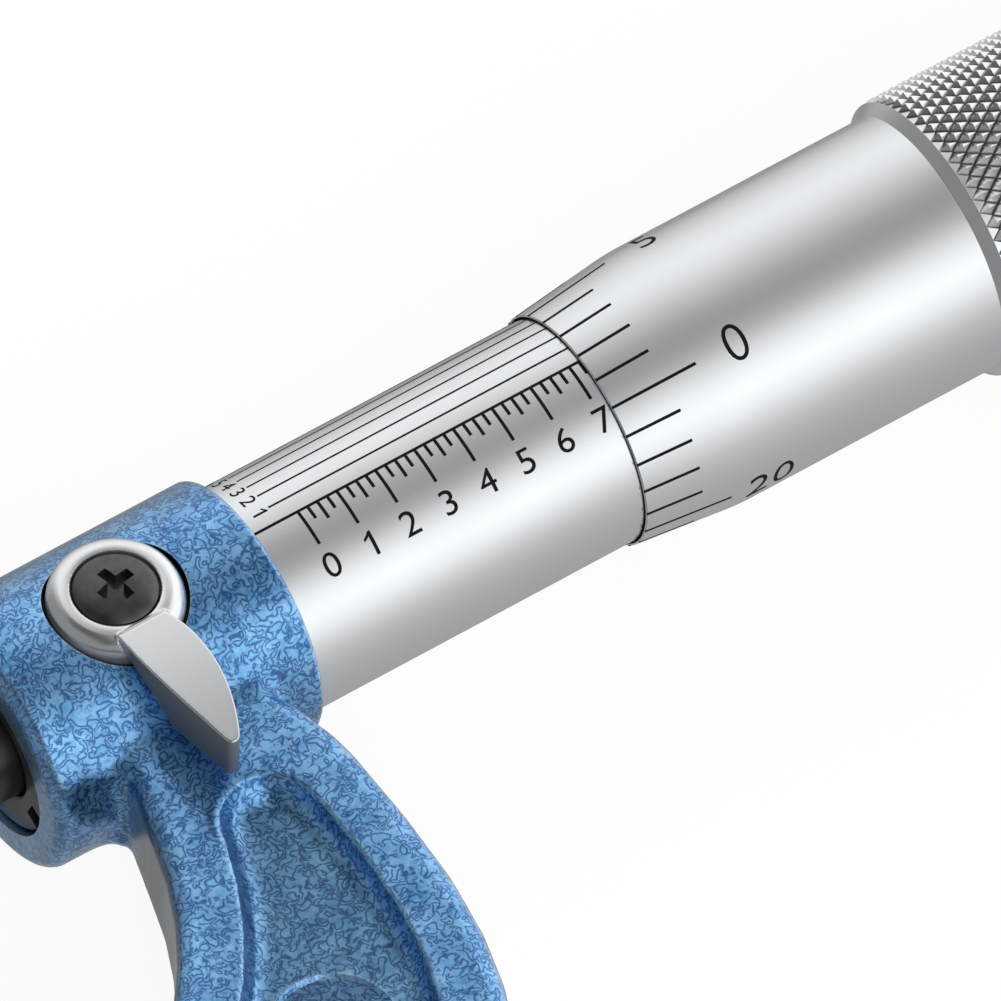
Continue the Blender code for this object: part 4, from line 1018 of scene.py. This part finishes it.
def cast_frame():
    """The casting: the model's solid with its holes plugged, softened, and bored again."""
    casting = merged_copy("frame", "cast_frame")
    crown_half = LEVER_RING + 1.0 * MM
    plugs = [
        cylinder(6.2 * MM, NOSE_FACE + 0.2 * MM, BARREL_END - 0.2 * MM, 48),
        cylinder(BARREL_RADIUS, BARREL_END - 2 * MM, BARREL_END + 1 * MM),
        cylinder(BARREL_RADIUS, NOSE_FACE - 1 * MM, NOSE_FACE + 2 * MM),
        cylinder(3.6 * MM, anvil_low.x - 0.3 * MM, BOSS_FACE - 0.2 * MM, 48),
        stood_up(cylinder(DISC_RADIUS + 0.2 * MM, 1.0 * MM, PANEL_FLOOR, 48), *DISC_CENTRE),
        # fills the lever's seat up to the barrel's own round crown
        cylinder(BARREL_RADIUS - 0.02 * MM, LOCK_X - crown_half, LOCK_X + crown_half),
    ]
    for plug in plugs:
        with_plug(casting, plug)
    even_skin(casting, CASTING_VOXEL)
    soften(casting, EDGE_ROUNDS, FILLET_ROUNDS)
    fill_out(casting.data)
    smooth(casting, 180)
    bore = [
        (NOSE_FACE - 1 * MM, NOSE_BORE),
        (NOSE_FACE + NOSE_DEPTH, NOSE_BORE),
        (NOSE_FACE + NOSE_DEPTH, RUN_BORE),
        (MAIN_START, RUN_BORE),
        (MAIN_START, MAIN_BORE),
        (BARREL_END + 1 * MM, MAIN_BORE),
    ]
    cut(casting, turned("barrel_bore", bore, 96, solid=True))
    cut(casting, end_trim(BARREL_END, 1, BARREL_END_ROUND))
    cut(casting, end_trim(NOSE_FACE, -1, NOSE_ROUND))
    anvil_bore = SPINDLE_RADIUS + 0.1 * MM
    cut(casting, cylinder(anvil_bore, anvil_low.x - 0.1 * MM, BOSS_FACE + 1 * MM))
    bored_down(casting, LEVER_RING + SEAT_MARGIN, LEVER_SEAT, BARREL_RADIUS + 1 * MM)
    bored_down(casting, STUD_BORE, SPINDLE_RADIUS, BARREL_RADIUS, sides=48)
    cut(casting, stood_up(disc_cutter(), *DISC_CENTRE))
    smooth(casting, 35)
    mark_bare_walls(casting.data)
    return casting


give(cast_frame(), ENAMEL, "frame", "frame")


# Turned pieces


def sleeve():
    low, high = sleeve_low.x, sleeve_high.x
    inner = 5.8 * MM
    profile = [
        (low, inner, 0.05 * MM),
        (low, SLEEVE_RADIUS, 0.12 * MM),
        (high, SLEEVE_RADIUS, 0.3 * MM),
        (high, inner, 0.05 * MM),
    ]
    piece = turned("scale_sleeve", profile, 128)
    hole_x = low + WRENCH_HOLE_PLACE
    bored_down(piece, WRENCH_HOLE, -SLEEVE_RADIUS - 1 * MM, -inner / 2, hole_x, 32)
    return smooth(piece)


def thimble():
    start, end = THIMBLE_EDGE, thimble_high.x
    knurl_lead = start + KNURL_START
    knurl_end = end - KNURL_BACK
    cavity = start + CAVITY_LENGTH
    profile = [
        (start + 0.02 * MM, THIMBLE_BORE),
        (start, EDGE_RADIUS - 0.1 * MM),
        (start + 0.06 * MM, EDGE_RADIUS, 0.02 * MM),
        (start + BEVEL_LENGTH, THIMBLE_RADIUS, 0.8 * MM),
        (knurl_lead, THIMBLE_RADIUS, 0.04 * MM),
        (knurl_lead + KNURL_LEAD, KNURL_RADIUS - 0.08 * MM, 0.04 * MM),
        (knurl_lead + KNURL_LEAD + 0.04 * MM, KNURL_ROOT, 0.02 * MM),
        (knurl_end, KNURL_ROOT, 0.02 * MM),
        (knurl_end, BACK_RADIUS, 0.1 * MM),
        (end, BACK_RADIUS, 0.45 * MM),
        (end, WEB_HOLE, 0.1 * MM),
        (cavity, WEB_HOLE),
        (cavity, THIMBLE_BORE),
    ]
    return turned("thimble_body", profile, 144)


def spindle():
    low, high = spindle_low.x, spindle_high.x
    plain_end = THIMBLE_EDGE - THREAD_RELIEF
    profile = [
        (low, SPINDLE_RADIUS, 0.05 * MM),
        (plain_end, SPINDLE_RADIUS, 0.05 * MM),
        (plain_end + 0.2 * MM, THREAD_RADIUS),
        (high - CONE_LENGTH, THREAD_RADIUS),
        (high, CONE_END, 0.05 * MM),
    ]
    return turned("spindle_bar", profile, 96, solid=True)


def plain_pin(name, low, high, lead, tail):
    """A ground pin of the spindle's size with a chamfer at each end."""
    profile = [(low.x, SPINDLE_RADIUS, lead), (high.x, SPINDLE_RADIUS, tail)]
    return turned(name, profile, 96, solid=True)


def gland():
    low, high = gland_low.x, gland_high.x
    outer, inner = gland_high.z, SPINDLE_RADIUS + 0.15 * MM
    profile = [(low, inner, 0.35 * MM), (low, outer, 0.25 * MM), (high, outer), (high, inner)]
    piece = turned("nose_gland", profile, 112)
    half, depth = 0.65 * MM, 1.2 * MM
    for quarter in range(4):
        slot = box(
            (low - 0.5 * MM, -half, outer - depth), (low + 0.6 * MM, half, outer + 0.5 * MM)
        )
        slot.data.transform(Matrix.Rotation(radians(GLAND_SLOT_TURN + 90 * quarter), 4, "X"))
        cut(piece, slot)
    return smooth(piece)


def knob():
    low, high = knob_low.x, knob_high.x
    radius = knob_high.y
    edge = 0.7 * MM

    def fluting(r, angle):
        if r < radius - 0.8 * MM:
            return 1.0
        groove = abs((angle * FLUTES / FULL_TURN) % 1 - 0.5) * 2
        return 1 - FLUTE_DEPTH / r * max(0.0, groove - 0.35) ** 1.3

    profile = [
        (low, KNOB_CAVITY, 0.1 * MM),
        (low, radius - edge, 0.1 * MM),
        (low + edge, radius, 0.15 * MM),
        (high - edge, radius, 0.15 * MM),
        (high, radius - edge, 0.1 * MM),
        (high, HEAD_BORE, 0.1 * MM),
        (high - 2.4 * MM, HEAD_BORE),
        (high - 2.4 * MM, KNOB_BORE),
        (high - 5.6 * MM, KNOB_BORE),
        (high - 5.6 * MM, KNOB_CAVITY),
    ]
    return turned("fluted_knob", profile, FLUTES * 10, ripple=fluting)


def end_screw():
    low, high = screw_low.x, screw_high.x
    radius = screw_high.z
    head = high - HEAD_HEIGHT
    profile = [
        (low, SHANK_RADIUS, 0.1 * MM),
        (head, SHANK_RADIUS),
        (head, radius, 0.05 * MM),
        (high - 0.1 * MM, radius, 0.3 * MM),
        (high, radius - 0.5 * MM, 0.2 * MM),
    ]
    piece = turned("knob_screw", profile, 96, solid=True)
    half, reach = 0.35 * MM, radius + 1 * MM
    return smooth(cut(piece, box((high - 0.6 * MM, -half, -reach), (high + 1 * MM, half, reach))))


give(sleeve(), SATIN_CHROME, "sleeve", "graduated_sleeve")
give(thimble(), SATIN_CHROME, "thimble", "thimble")
give(spindle(), NOSE_SHADED_SPINDLE, "thimble", "spindle")
pin = plain_pin("spindle_face", tip_low, tip_high, 0.15 * MM, 0.03 * MM)
give(pin, CARBIDE, "tip", "spindle_tip")
pin = plain_pin("anvil_face", anvil_tip_low, anvil_tip_high, 0.03 * MM, 0.15 * MM)
give(pin, CARBIDE, "frame", "anvil_tip")
pin = plain_pin("anvil_pin", anvil_low, anvil_high, 0.1 * MM, 0.03 * MM)
give(pin, GROUND_STEEL, "frame", "anvil")
give(gland(), BLACK_STEEL, "frame", "spindle_gland")
give(knob(), SATIN_CHROME, "knob", "ratchet_knob")
give(end_screw(), GROUND_STEEL, "thimble", "end_screw")


# Scales and numerals


def surface(start, radius, taper=0.0, full=None):
    """What the wrapping needs: where a taper starts, its radius there, and its full radius."""
    values = (start, radius, taper, full or radius)
    return dict(zip(("Start", "Start Radius", "Taper", "Full Radius"), values))


ON_SLEEVE = surface(0.0, SLEEVE_RADIUS)
ON_THIMBLE = surface(
    THIMBLE_EDGE, EDGE_RADIUS, (THIMBLE_RADIUS - EDGE_RADIUS) / BEVEL_LENGTH, THIMBLE_RADIUS
)


def one_curve():
    """The outline of a 1 with its flag, which the font's lacks."""
    curve = bpy.data.curves.new("numeral_1", "CURVE")
    curve.dimensions = "2D"
    curve.fill_mode = "BOTH"
    corners = [(0.0, 0.0), (0.1, 0.0), (0.1, 0.72), (0.035, 0.72), (-0.06, 0.62), (-0.16, 0.555)]
    corners += [(-0.16, 0.47), (-0.06, 0.525), (0.0, 0.575)]
    spline = curve.splines.new("POLY")
    spline.points.add(len(corners) - 1)
    for point, (x, y) in zip(spline.points, corners):
        point.co = (x, y, 0, 1)
    spline.use_cyclic_u = True
    return curve


def font_curve(text, thinner):
    curve = bpy.data.curves.new(f"numeral_{text}", "FONT")
    curve.body = text
    curve.align_x = "CENTER"
    curve.align_y = "CENTER"
    curve.resolution_u = 5
    curve.space_character = 1.05
    curve.offset = -thinner
    return curve


def numeral(text, height, x, arc, turn=0.0, thinner=0.0):
    """A flat numeral, centred at (x, arc) and standing up from the surface by the ink's rise."""
    curve = one_curve() if text == "1" else font_curve(text, thinner)
    curve.extrude = 0.5
    source = add_object("numeral_source", curve)
    mesh = evaluated_mesh(source)
    bpy.data.objects.remove(source)
    corners = np.array([v.co for v in mesh.vertices])
    middle = (corners.max(0) + corners.min(0)) / 2
    size = height / (corners.max(0)[1] - corners.min(0)[1])
    place = Matrix.Translation((x, arc, INK_LEVEL)) @ Matrix.Rotation(turn, 4, "Z")
    place = place @ Matrix.Diagonal((size * NUMERAL_WIDER, size, INK_DEPTH, 1))
    mesh.transform(place @ Matrix.Translation(-Vector(middle)))
    return mesh


def wrapped(name, meshes, on):
    """Flat meshes joined, cut into strips so that they bend, and wrapped round the axis."""
    bm = bmesh.new()
    for mesh in meshes:
        bm.from_mesh(mesh)
        bpy.data.meshes.remove(mesh)
    arcs = [vertex.co.y for vertex in bm.verts]
    for k in range(int(min(arcs) / BEND_STEP), int(max(arcs) / BEND_STEP) + 1):
        everything = [*bm.verts, *bm.edges, *bm.faces]
        place = (0, k * BEND_STEP, 0)
        bmesh.ops.bisect_plane(bm, geom=everything, plane_co=place, plane_no=(0, 1, 0))
    bmesh.ops.triangulate(bm, faces=[f for f in bm.faces if len(f.verts) > 4])
    radius = on["Start Radius"]
    for vertex in bm.verts:
        x, arc, height = vertex.co
        r = min(radius + on["Taper"] * (x - on["Start"]), on["Full Radius"]) + height
        vertex.co = (x, r * sin(arc / radius), r * cos(arc / radius))
    return object_from(name, bm)


SCALE = scale_tree()
TOWARDS_THROAT = radians(-90)


def scale_lines(name, on, first, step, direction, width, lengths, every=(1, 1), count=1):
    """One row of lines. first and step are (along, round); lengths are long, medium, short."""
    settings = {
        "Count": count,
        "First": (*first, INK_LEVEL),
        "Step": (*step, 0.0),
        "Direction": direction,
        "Width": width,
        "Depth": INK_DEPTH,
        "Material": INK,
    }
    settings.update(zip(("Long", "Medium", "Short"), lengths))
    settings.update(zip(("Long Every", "Medium Every"), every))
    return grown(name, SCALE, {**on, **settings})


ticks = scale_lines(
    "sleeve_ticks", ON_SLEEVE, (SCALE_ZERO, DATUM_ARC), (TICK_STEP, 0), TOWARDS_THROAT,
    TICK_WIDTH, (LONG_TICK, MEDIUM_TICK, SHORT_TICK), (4, 2), 41,
)
datum = scale_lines(
    "datum_line", ON_SLEEVE, (sleeve_low.x + 0.05 * MM, DATUM_ARC), (0, 0), 0.0,
    TICK_WIDTH * 0.9, (DATUM_LENGTH,) * 3,
)
fine_lines = scale_lines(
    "fine_lines", ON_SLEEVE, (FINE_LINE_START, DATUM_ARC + FINE_LINE_STEP),
    (0, FINE_LINE_STEP), 0.0, FINE_LINE_WIDTH, (FINE_LINE_LENGTH,) * 3, count=10,
)
digits = [
    numeral(str(k % 10), DIGIT_HEIGHT, SCALE_ZERO + 4 * k * TICK_STEP + DIGIT_SHIFT, DIGIT_ARC)
    for k in range(11)
]
digits = wrapped("sleeve_digits", digits, ON_SLEEVE)
fine_digits = []
for k in range(1, 11):
    arc = DATUM_ARC + FINE_LINE_STEP * k
    fine_digits.append(
        numeral(str(k % 10), FINE_DIGIT_HEIGHT, FINE_DIGIT_PLACE, arc, TOWARDS_THROAT)
    )
fine_digits = wrapped("fine_digits", fine_digits, ON_SLEEVE)
for piece in (ticks, datum, fine_lines, digits, fine_digits):
    give(piece, INK, "sleeve")

zero_arc = ZERO_ANGLE * EDGE_RADIUS
division = FULL_TURN / DIVISIONS * EDGE_RADIUS
thimble_lines = scale_lines(
    "thimble_lines", ON_THIMBLE, (THIMBLE_EDGE + 0.02 * MM, zero_arc), (0, division), 0.0,
    THIMBLE_LINE_WIDTH, (MAJOR_LINE, MINOR_LINE, MINOR_LINE), (5, 1), DIVISIONS,
)
numerals = []
for k in range(0, DIVISIONS, 5):
    place = (THIMBLE_EDGE + NUMERAL_PLACE, zero_arc + division * k)
    numerals.append(numeral(str(k), NUMERAL_HEIGHT, *place, thinner=NUMERAL_THINNER))
for piece in (thimble_lines, wrapped("thimble_numerals", numerals, ON_THIMBLE)):
    give(piece, INK, "thimble")

columns = round(FULL_TURN * KNURL_ROOT / KNURL_WIDTH)
knurl_start = THIMBLE_EDGE + KNURL_START + KNURL_LEAD
knurl_band = thimble_high.x - KNURL_BACK - knurl_start
rows = int(knurl_band / (KNURL_LENGTH / 2)) - 1
knurl_settings = {
    "Rows": rows,
    "Columns": columns,
    "Length": 2 * knurl_band / (rows + 1),
    "Width": FULL_TURN * KNURL_ROOT / columns,
    "Height": KNURL_DEPTH,
    "Material": KNURLED_CHROME,
}
knurl = grown(
    "diamond_knurl", knurl_tree(), {**knurl_settings, **surface(knurl_start, KNURL_ROOT)}
)
give(knurl, KNURLED_CHROME, "thimble")


# The lock


def bezier(points, steps):
    """Points along a cubic curve whose four control points are in millimetres."""
    p0, p1, p2, p3 = (Vector(p) * MM for p in points)
    curve = []
    for i in range(steps + 1):
        t = i / steps
        s = 1 - t
        curve.append(s**3 * p0 + 3 * s * s * t * p1 + 3 * s * t * t * p2 + t**3 * p3)
    return curve


def blade_outline():
    """The blade from above: nearly straight on the left, bowed on the right, with a blunt tip."""
    tip, start = lever_low.y / MM, -BLADE_START / MM
    left_end, right_end = (-0.42, tip + 0.35), (0.40, tip + 0.30)
    left = bezier(((-1.67, start), (-1.62, -5.9), (-0.95, -9.0), left_end), 14)
    blunt = bezier((left_end, (-0.30, tip - 0.08), (0.18, tip - 0.05), right_end), 6)
    right = bezier((right_end, (1.6, -9.6), (2.75, -6.0), (1.41, start)), 14)
    return left + blunt[1:] + right[1:]


def lever():
    """The lever: a ring with a round crown, and a flat-topped blade."""
    top, low = lever_high.z, LEVER_SEAT + 0.1 * MM
    ring_top = top - RING_BELOW
    profile = [(low, 0), (ring_top - 1.2 * MM, 0)]
    for i in range(13):
        lean = radians(-75 + 165 * i / 12)
        across = RING_INNER_ROUND if lean < 0 else RING_ROUND
        height = ring_top - RING_ROUND + RING_ROUND * cos(lean)
        profile.append((height, LEVER_RING - RING_ROUND + across * sin(lean)))
    profile.append((low, LEVER_RING, 0.1 * MM))
    piece = stood_up(turned("lever", profile, 128), LOCK_X)
    bm = bmesh.new()
    bm.faces.new([bm.verts.new((LOCK_X + p.x, p.y, BLADE_TIP_LOW)) for p in blade_outline()])
    made = bmesh.ops.extrude_face_region(bm, geom=list(bm.faces))
    raised = [v for v in made["geom"] if isinstance(v, bmesh.types.BMVert)]
    bmesh.ops.translate(bm, verts=raised, vec=(0, 0, top - BLADE_TIP_LOW))
    blade = object_from("blade", bm)
    cut(blade, cylinder(ARCH_RADIUS, LOCK_X - 9 * MM, LOCK_X + 9 * MM, 128))
    # the barrel as the blade meets it when the lock is open
    arch = cylinder(BARREL_RADIUS + ARCH_GAP, -11 * MM, 11 * MM, 128)
    turn = Matrix.Rotation(OPEN_ANGLE, 4, "Z")
    arch.data.transform(Matrix.Translation((LOCK_X, 0, 0)) @ turn)
    cut(blade, arch)
    with_plug(piece, blade)
    even_skin(piece, LEVER_VOXEL)
    soften(piece, LEVER_ROUNDS)
    crown_blade(piece, top)
    smooth(piece, 180)
    bored_down(piece, HEAD_POCKET, top - HEAD_POCKET_DEPTH, top + 1 * MM)
    bored_down(piece, SQUARE_HOLE, low - 1 * MM, top, sides=48)
    bored_down(piece, WASHER_POCKET, low - 1 * MM, low + 0.4 * MM)
    mark_side(piece.data)
    return smooth(piece, 40)


def inside(x, y, outline):
    """Whether a point lies inside a closed outline, by counting the sides to its right."""
    odd = False
    for (x0, y0), (x1, y1) in zip(outline, outline[1:] + outline[:1]):
        if (y0 > y) != (y1 > y) and x < x0 + (x1 - x0) * (y - y0) / (y1 - y0):
            odd = not odd
    return odd


def crown_blade(obj, top):
    """Bow the blade's flat top a little along its length, and let it fall to the left."""
    outline = [(LOCK_X + 1.05 * p.x, p.y) for p in blade_outline()]
    for vertex in obj.data.vertices:
        x, y, z = vertex.co
        if y < -BLADE_START and z > top - BOW_DEPTH and inside(x, y, outline):
            drop = (y + 6.0 * MM) ** 2 / (2 * BLADE_BOW) + BLADE_LEAN * (LOCK_X + 2.0 * MM - x)
            vertex.co.z -= drop * (z - top + BOW_DEPTH) / BOW_DEPTH


def mark_side(mesh):
    """Mark the walls of the lever, which keep a darker finish than its polished top and get painted
    shade, and the pocket round the screw's head, painted dark as shade.
    """
    places, normals = points_of(mesh)
    x, y, z = places.T
    beyond_ring = fade(-y, LEVER_RING - 0.6 * MM, LEVER_RING + 0.2 * MM)
    below_top = fade(z, lever_high.z - 0.55 * MM, lever_high.z - 1.45 * MM)
    steep = fade(np.abs(normals[:, 2]), 0.45, 0.15)
    # the pocket's wall round the screw's head is marked for painted shade
    pocket = np.hypot(x - LOCK_X, y) < HEAD_POCKET + 0.03 * MM
    mark(mesh, "side_finish_and_shade", np.maximum(np.maximum(beyond_ring, below_top) * steep, pocket))


def lock_screw():
    """The domed black screw with its cross recess."""
    bottom, top = lock_low.z, lock_high.z
    head = top - SCREW_HEAD
    profile = [
        (bottom, SCREW_SHANK, 0.1 * MM),
        (head, SCREW_SHANK),
        (head, SCREW_RADIUS, 0.02 * MM),
        (top - SCREW_DOME - 0.07 * MM, SCREW_RADIUS, 0.06 * MM),
    ]
    for i in range(1, 10):
        left = 1 - i / 9
        profile.append((top - SCREW_DOME * left**2, SCREW_RADIUS * left * 0.985))
    piece = stood_up(turned("lever_screw", [(bottom, 0), *profile], 96), 0)
    for turn in (CROSS_TURN, CROSS_TURN + 90):
        arm = box(
            (-CROSS_LENGTH, -CROSS_WIDTH, top - CROSS_DEPTH),
            (CROSS_LENGTH, CROSS_WIDTH, top + 1 * MM),
        )
        arm.data.transform(Matrix.Rotation(radians(turn), 4, "Z"))
        cut(piece, arm)
    piece.data.transform(Matrix.Translation((LOCK_X, 0, 0)))
    return smooth(piece)


give(lever(), LEVER_STEEL, "lever", "lock_lever")
give(lock_screw(), SCREW_BLACK, "lever", "lock_screw")


# Inner pieces keep their solids and get a finish

INNER = {
    FELT: ("spindle_seal",),
    GROUND_STEEL: (
        "clamp_collar", "lock_stud", "lock_washer", "inner_sleeve", "adjusting_nut",
        "ratchet_stem", "ratchet_pawl",
    ),
    SPRING_STEEL: ("ratchet_spring", "end_washer"),
}
for material, nodes in INNER.items():
    for node in nodes:
        for slot in NODES[node].material_slots:
            slot.material = material


# Floor, light and camera

WHITE = (1, 1, 1, 1)
FLOOR_GREY = (0.85, 0.85, 0.85, 1)
FLOOR_GLOW = 0.93  # how much of the floor is plain white to the camera
FLOOR_HALF = 3.0


def floor():
    low = cad_bounds[0].z - 0.02 * MM
    mesh = bpy.data.meshes.new("floor")
    half = FLOOR_HALF
    corners = [(-half, -half, low), (half, -half, low), (half, half, low), (-half, half, low)]
    mesh.from_pydata(corners, [], [(0, 1, 2, 3)])
    obj = add_object("floor", mesh)
    material = bpy.data.materials.new("pale_floor")
    material.use_nodes = True
    tree = material.node_tree
    tree.nodes.clear()
    diffuse = result(tree, "ShaderNodeBsdfDiffuse", {"Color": FLOOR_GREY})
    glow = result(tree, "ShaderNodeEmission", {"Color": WHITE, "Strength": 1.0})
    path = add(tree, "ShaderNodeLightPath")
    share = times(tree, path.outputs["Is Camera Ray"], FLOOR_GLOW)
    mix = result(tree, "ShaderNodeMixShader", {0: share, 1: diffuse, 2: glow})
    add(tree, "ShaderNodeOutputMaterial", {0: mix})
    mesh.materials.append(material)
    obj.visible_glossy = False


# light by the angle round the X axis, from the crown (0) towards the throat (positive), in degrees
STUDIO_LIGHT = (
    (-180, 0.40), (-140, 0.34), (-125, 0.29), (-110, 0.52), (-95, 0.70), (-80, 0.88), (-62, 1.00),
    (-50, 0.96), (-35, 0.78), (-20, 0.56), (-5, 0.38), (8, 0.33), (22, 0.46), (38, 0.84),
    (52, 1.12), (66, 1.22), (80, 1.06), (95, 0.78), (110, 0.58), (130, 0.48), (150, 0.43),
    (180, 0.40),
)
LIGHT_TOP = 1.25
LIGHT_TINT = (0.975, 0.99, 1.0)
END_LIGHT = 0.27  # seen by what faces the anvil's end
FAR_LIGHT = 1.15  # and by what faces the knob's end
DARK_CARD = 0.62  # how much a dark card, half way to the anvil's end, takes from the light
CARD_ALONG = (-0.82, -0.58, -0.36, -0.16)  # where the card fades in and out along the axis
CARD_ROUND = [radians(angle) for angle in (-38, -18, 46, 68)]  # and round it


def band(tree, value, start, full_start, full_end, end):
    """A share that fades in and out again as a value grows."""
    fading_out = eased_spread(tree, value, end, full_end)
    return times(tree, fading_out, eased_spread(tree, value, start, full_start))


def studio_world():
    """Soft light in two long banks beside the object, dimmer above and below."""
    world = bpy.data.worlds.new("studio")
    bpy.context.scene.world = world
    world.use_nodes = True
    tree = world.node_tree
    tree.nodes.clear()
    axes = split_xyz(tree, add(tree, "ShaderNodeTexCoord").outputs["Generated"])
    angle = calc(tree, "ARCTAN2", times(tree, axes[1], -1.0), axes[2])
    curve = add(tree, "ShaderNodeValToRGB", {0: spread(tree, angle, -pi, pi)})
    ramp = curve.color_ramp
    ramp.interpolation = "EASE"
    for number, (degrees_round, level) in enumerate(STUDIO_LIGHT):
        at = (degrees_round + 180) / 360
        # the ramp has its two end stops from the start
        if number in (0, len(STUDIO_LIGHT) - 1):
            stop = ramp.elements[0 if number == 0 else -1]
        else:
            stop = ramp.elements.new(at)
        stop.position = at
        stop.color = (level / LIGHT_TOP,) * 3 + (1.0,)
    near_end = eased_spread(tree, axes[0], -0.05, -0.5)
    light = mixed(tree, near_end, curve.outputs[0], (END_LIGHT / LIGHT_TOP,) * 3)
    card = times(tree, band(tree, axes[0], *CARD_ALONG), band(tree, angle, *CARD_ROUND))
    light = mixed(tree, times(tree, card, DARK_CARD), light, (0, 0, 0))
    far_end = eased_spread(tree, axes[0], 0.55, 0.9)
    light = mixed(tree, far_end, light, (FAR_LIGHT / LIGHT_TOP,) * 3)
    light = mixed(tree, 1.0, light, LIGHT_TINT, "MULTIPLY")
    studio = result(tree, "ShaderNodeBackground", {"Color": light, "Strength": LIGHT_TOP})
    white = result(tree, "ShaderNodeBackground", {"Color": WHITE, "Strength": 1.0})
    path = add(tree, "ShaderNodeLightPath")
    wires = {0: path.outputs["Is Camera Ray"], 1: studio, 2: white}
    add(tree, "ShaderNodeOutputWorld", {0: result(tree, "ShaderNodeMixShader", wires)})


LAMP_AIM = (0.05, -0.01, 0)


def soft_lamp(name, place, size, power):
    """A large square lamp that lights the object and isn't mirrored in its metal."""
    light = bpy.data.lights.new(name, "AREA")
    light.shape = "SQUARE"
    light.size = size
    light.energy = power
    obj = add_object(name, light)
    obj.location = place
    obj.rotation_euler = (Vector(LAMP_AIM) - Vector(place)).to_track_quat("-Z", "Y").to_euler()
    obj.visible_glossy = False


PIXELS = 1001
PIXELS_PER_METRE = 18.279 / MM
SIGHT = Vector((-0.3283, -0.4729, 0.8177))
RIGHT = Vector((0.8331, -0.5529, 0.0148))
ZERO_PIXEL = (294.16, 580.84)  # where the sleeve's 0 line crosses the axis
CAMERA_DISTANCE = 1.8


def camera():
    """A very long lens from the photograph's side, which sees parallel lines as parallel."""
    away = SIGHT.normalized()
    right = (RIGHT - away * RIGHT.dot(away)).normalized()
    up = away.cross(right)
    across = (PIXELS / 2 - ZERO_PIXEL[0]) / PIXELS_PER_METRE
    above = (ZERO_PIXEL[1] - PIXELS / 2) / PIXELS_PER_METRE
    target = Vector((SCALE_ZERO, 0, 0)) + right * across + up * above
    lens = bpy.data.cameras.new("camera")
    lens.sensor_width = 36
    lens.lens = lens.sensor_width * CAMERA_DISTANCE / (PIXELS / PIXELS_PER_METRE)
    lens.clip_end = 20
    obj = add_object("camera", lens)
    axes = Matrix((right, up, away)).transposed().to_4x4()
    obj.matrix_world = Matrix.Translation(target + away * CAMERA_DISTANCE) @ axes
    bpy.context.scene.camera = obj


floor()
studio_world()
soft_lamp("throat_side_lamp", (0.0, -0.5, 0.45), 0.45, 3.2)
soft_lamp("back_side_lamp", (0.15, 0.55, 0.4), 0.4, 1.6)
camera()
bpy.context.scene.view_settings.view_transform = "Standard"
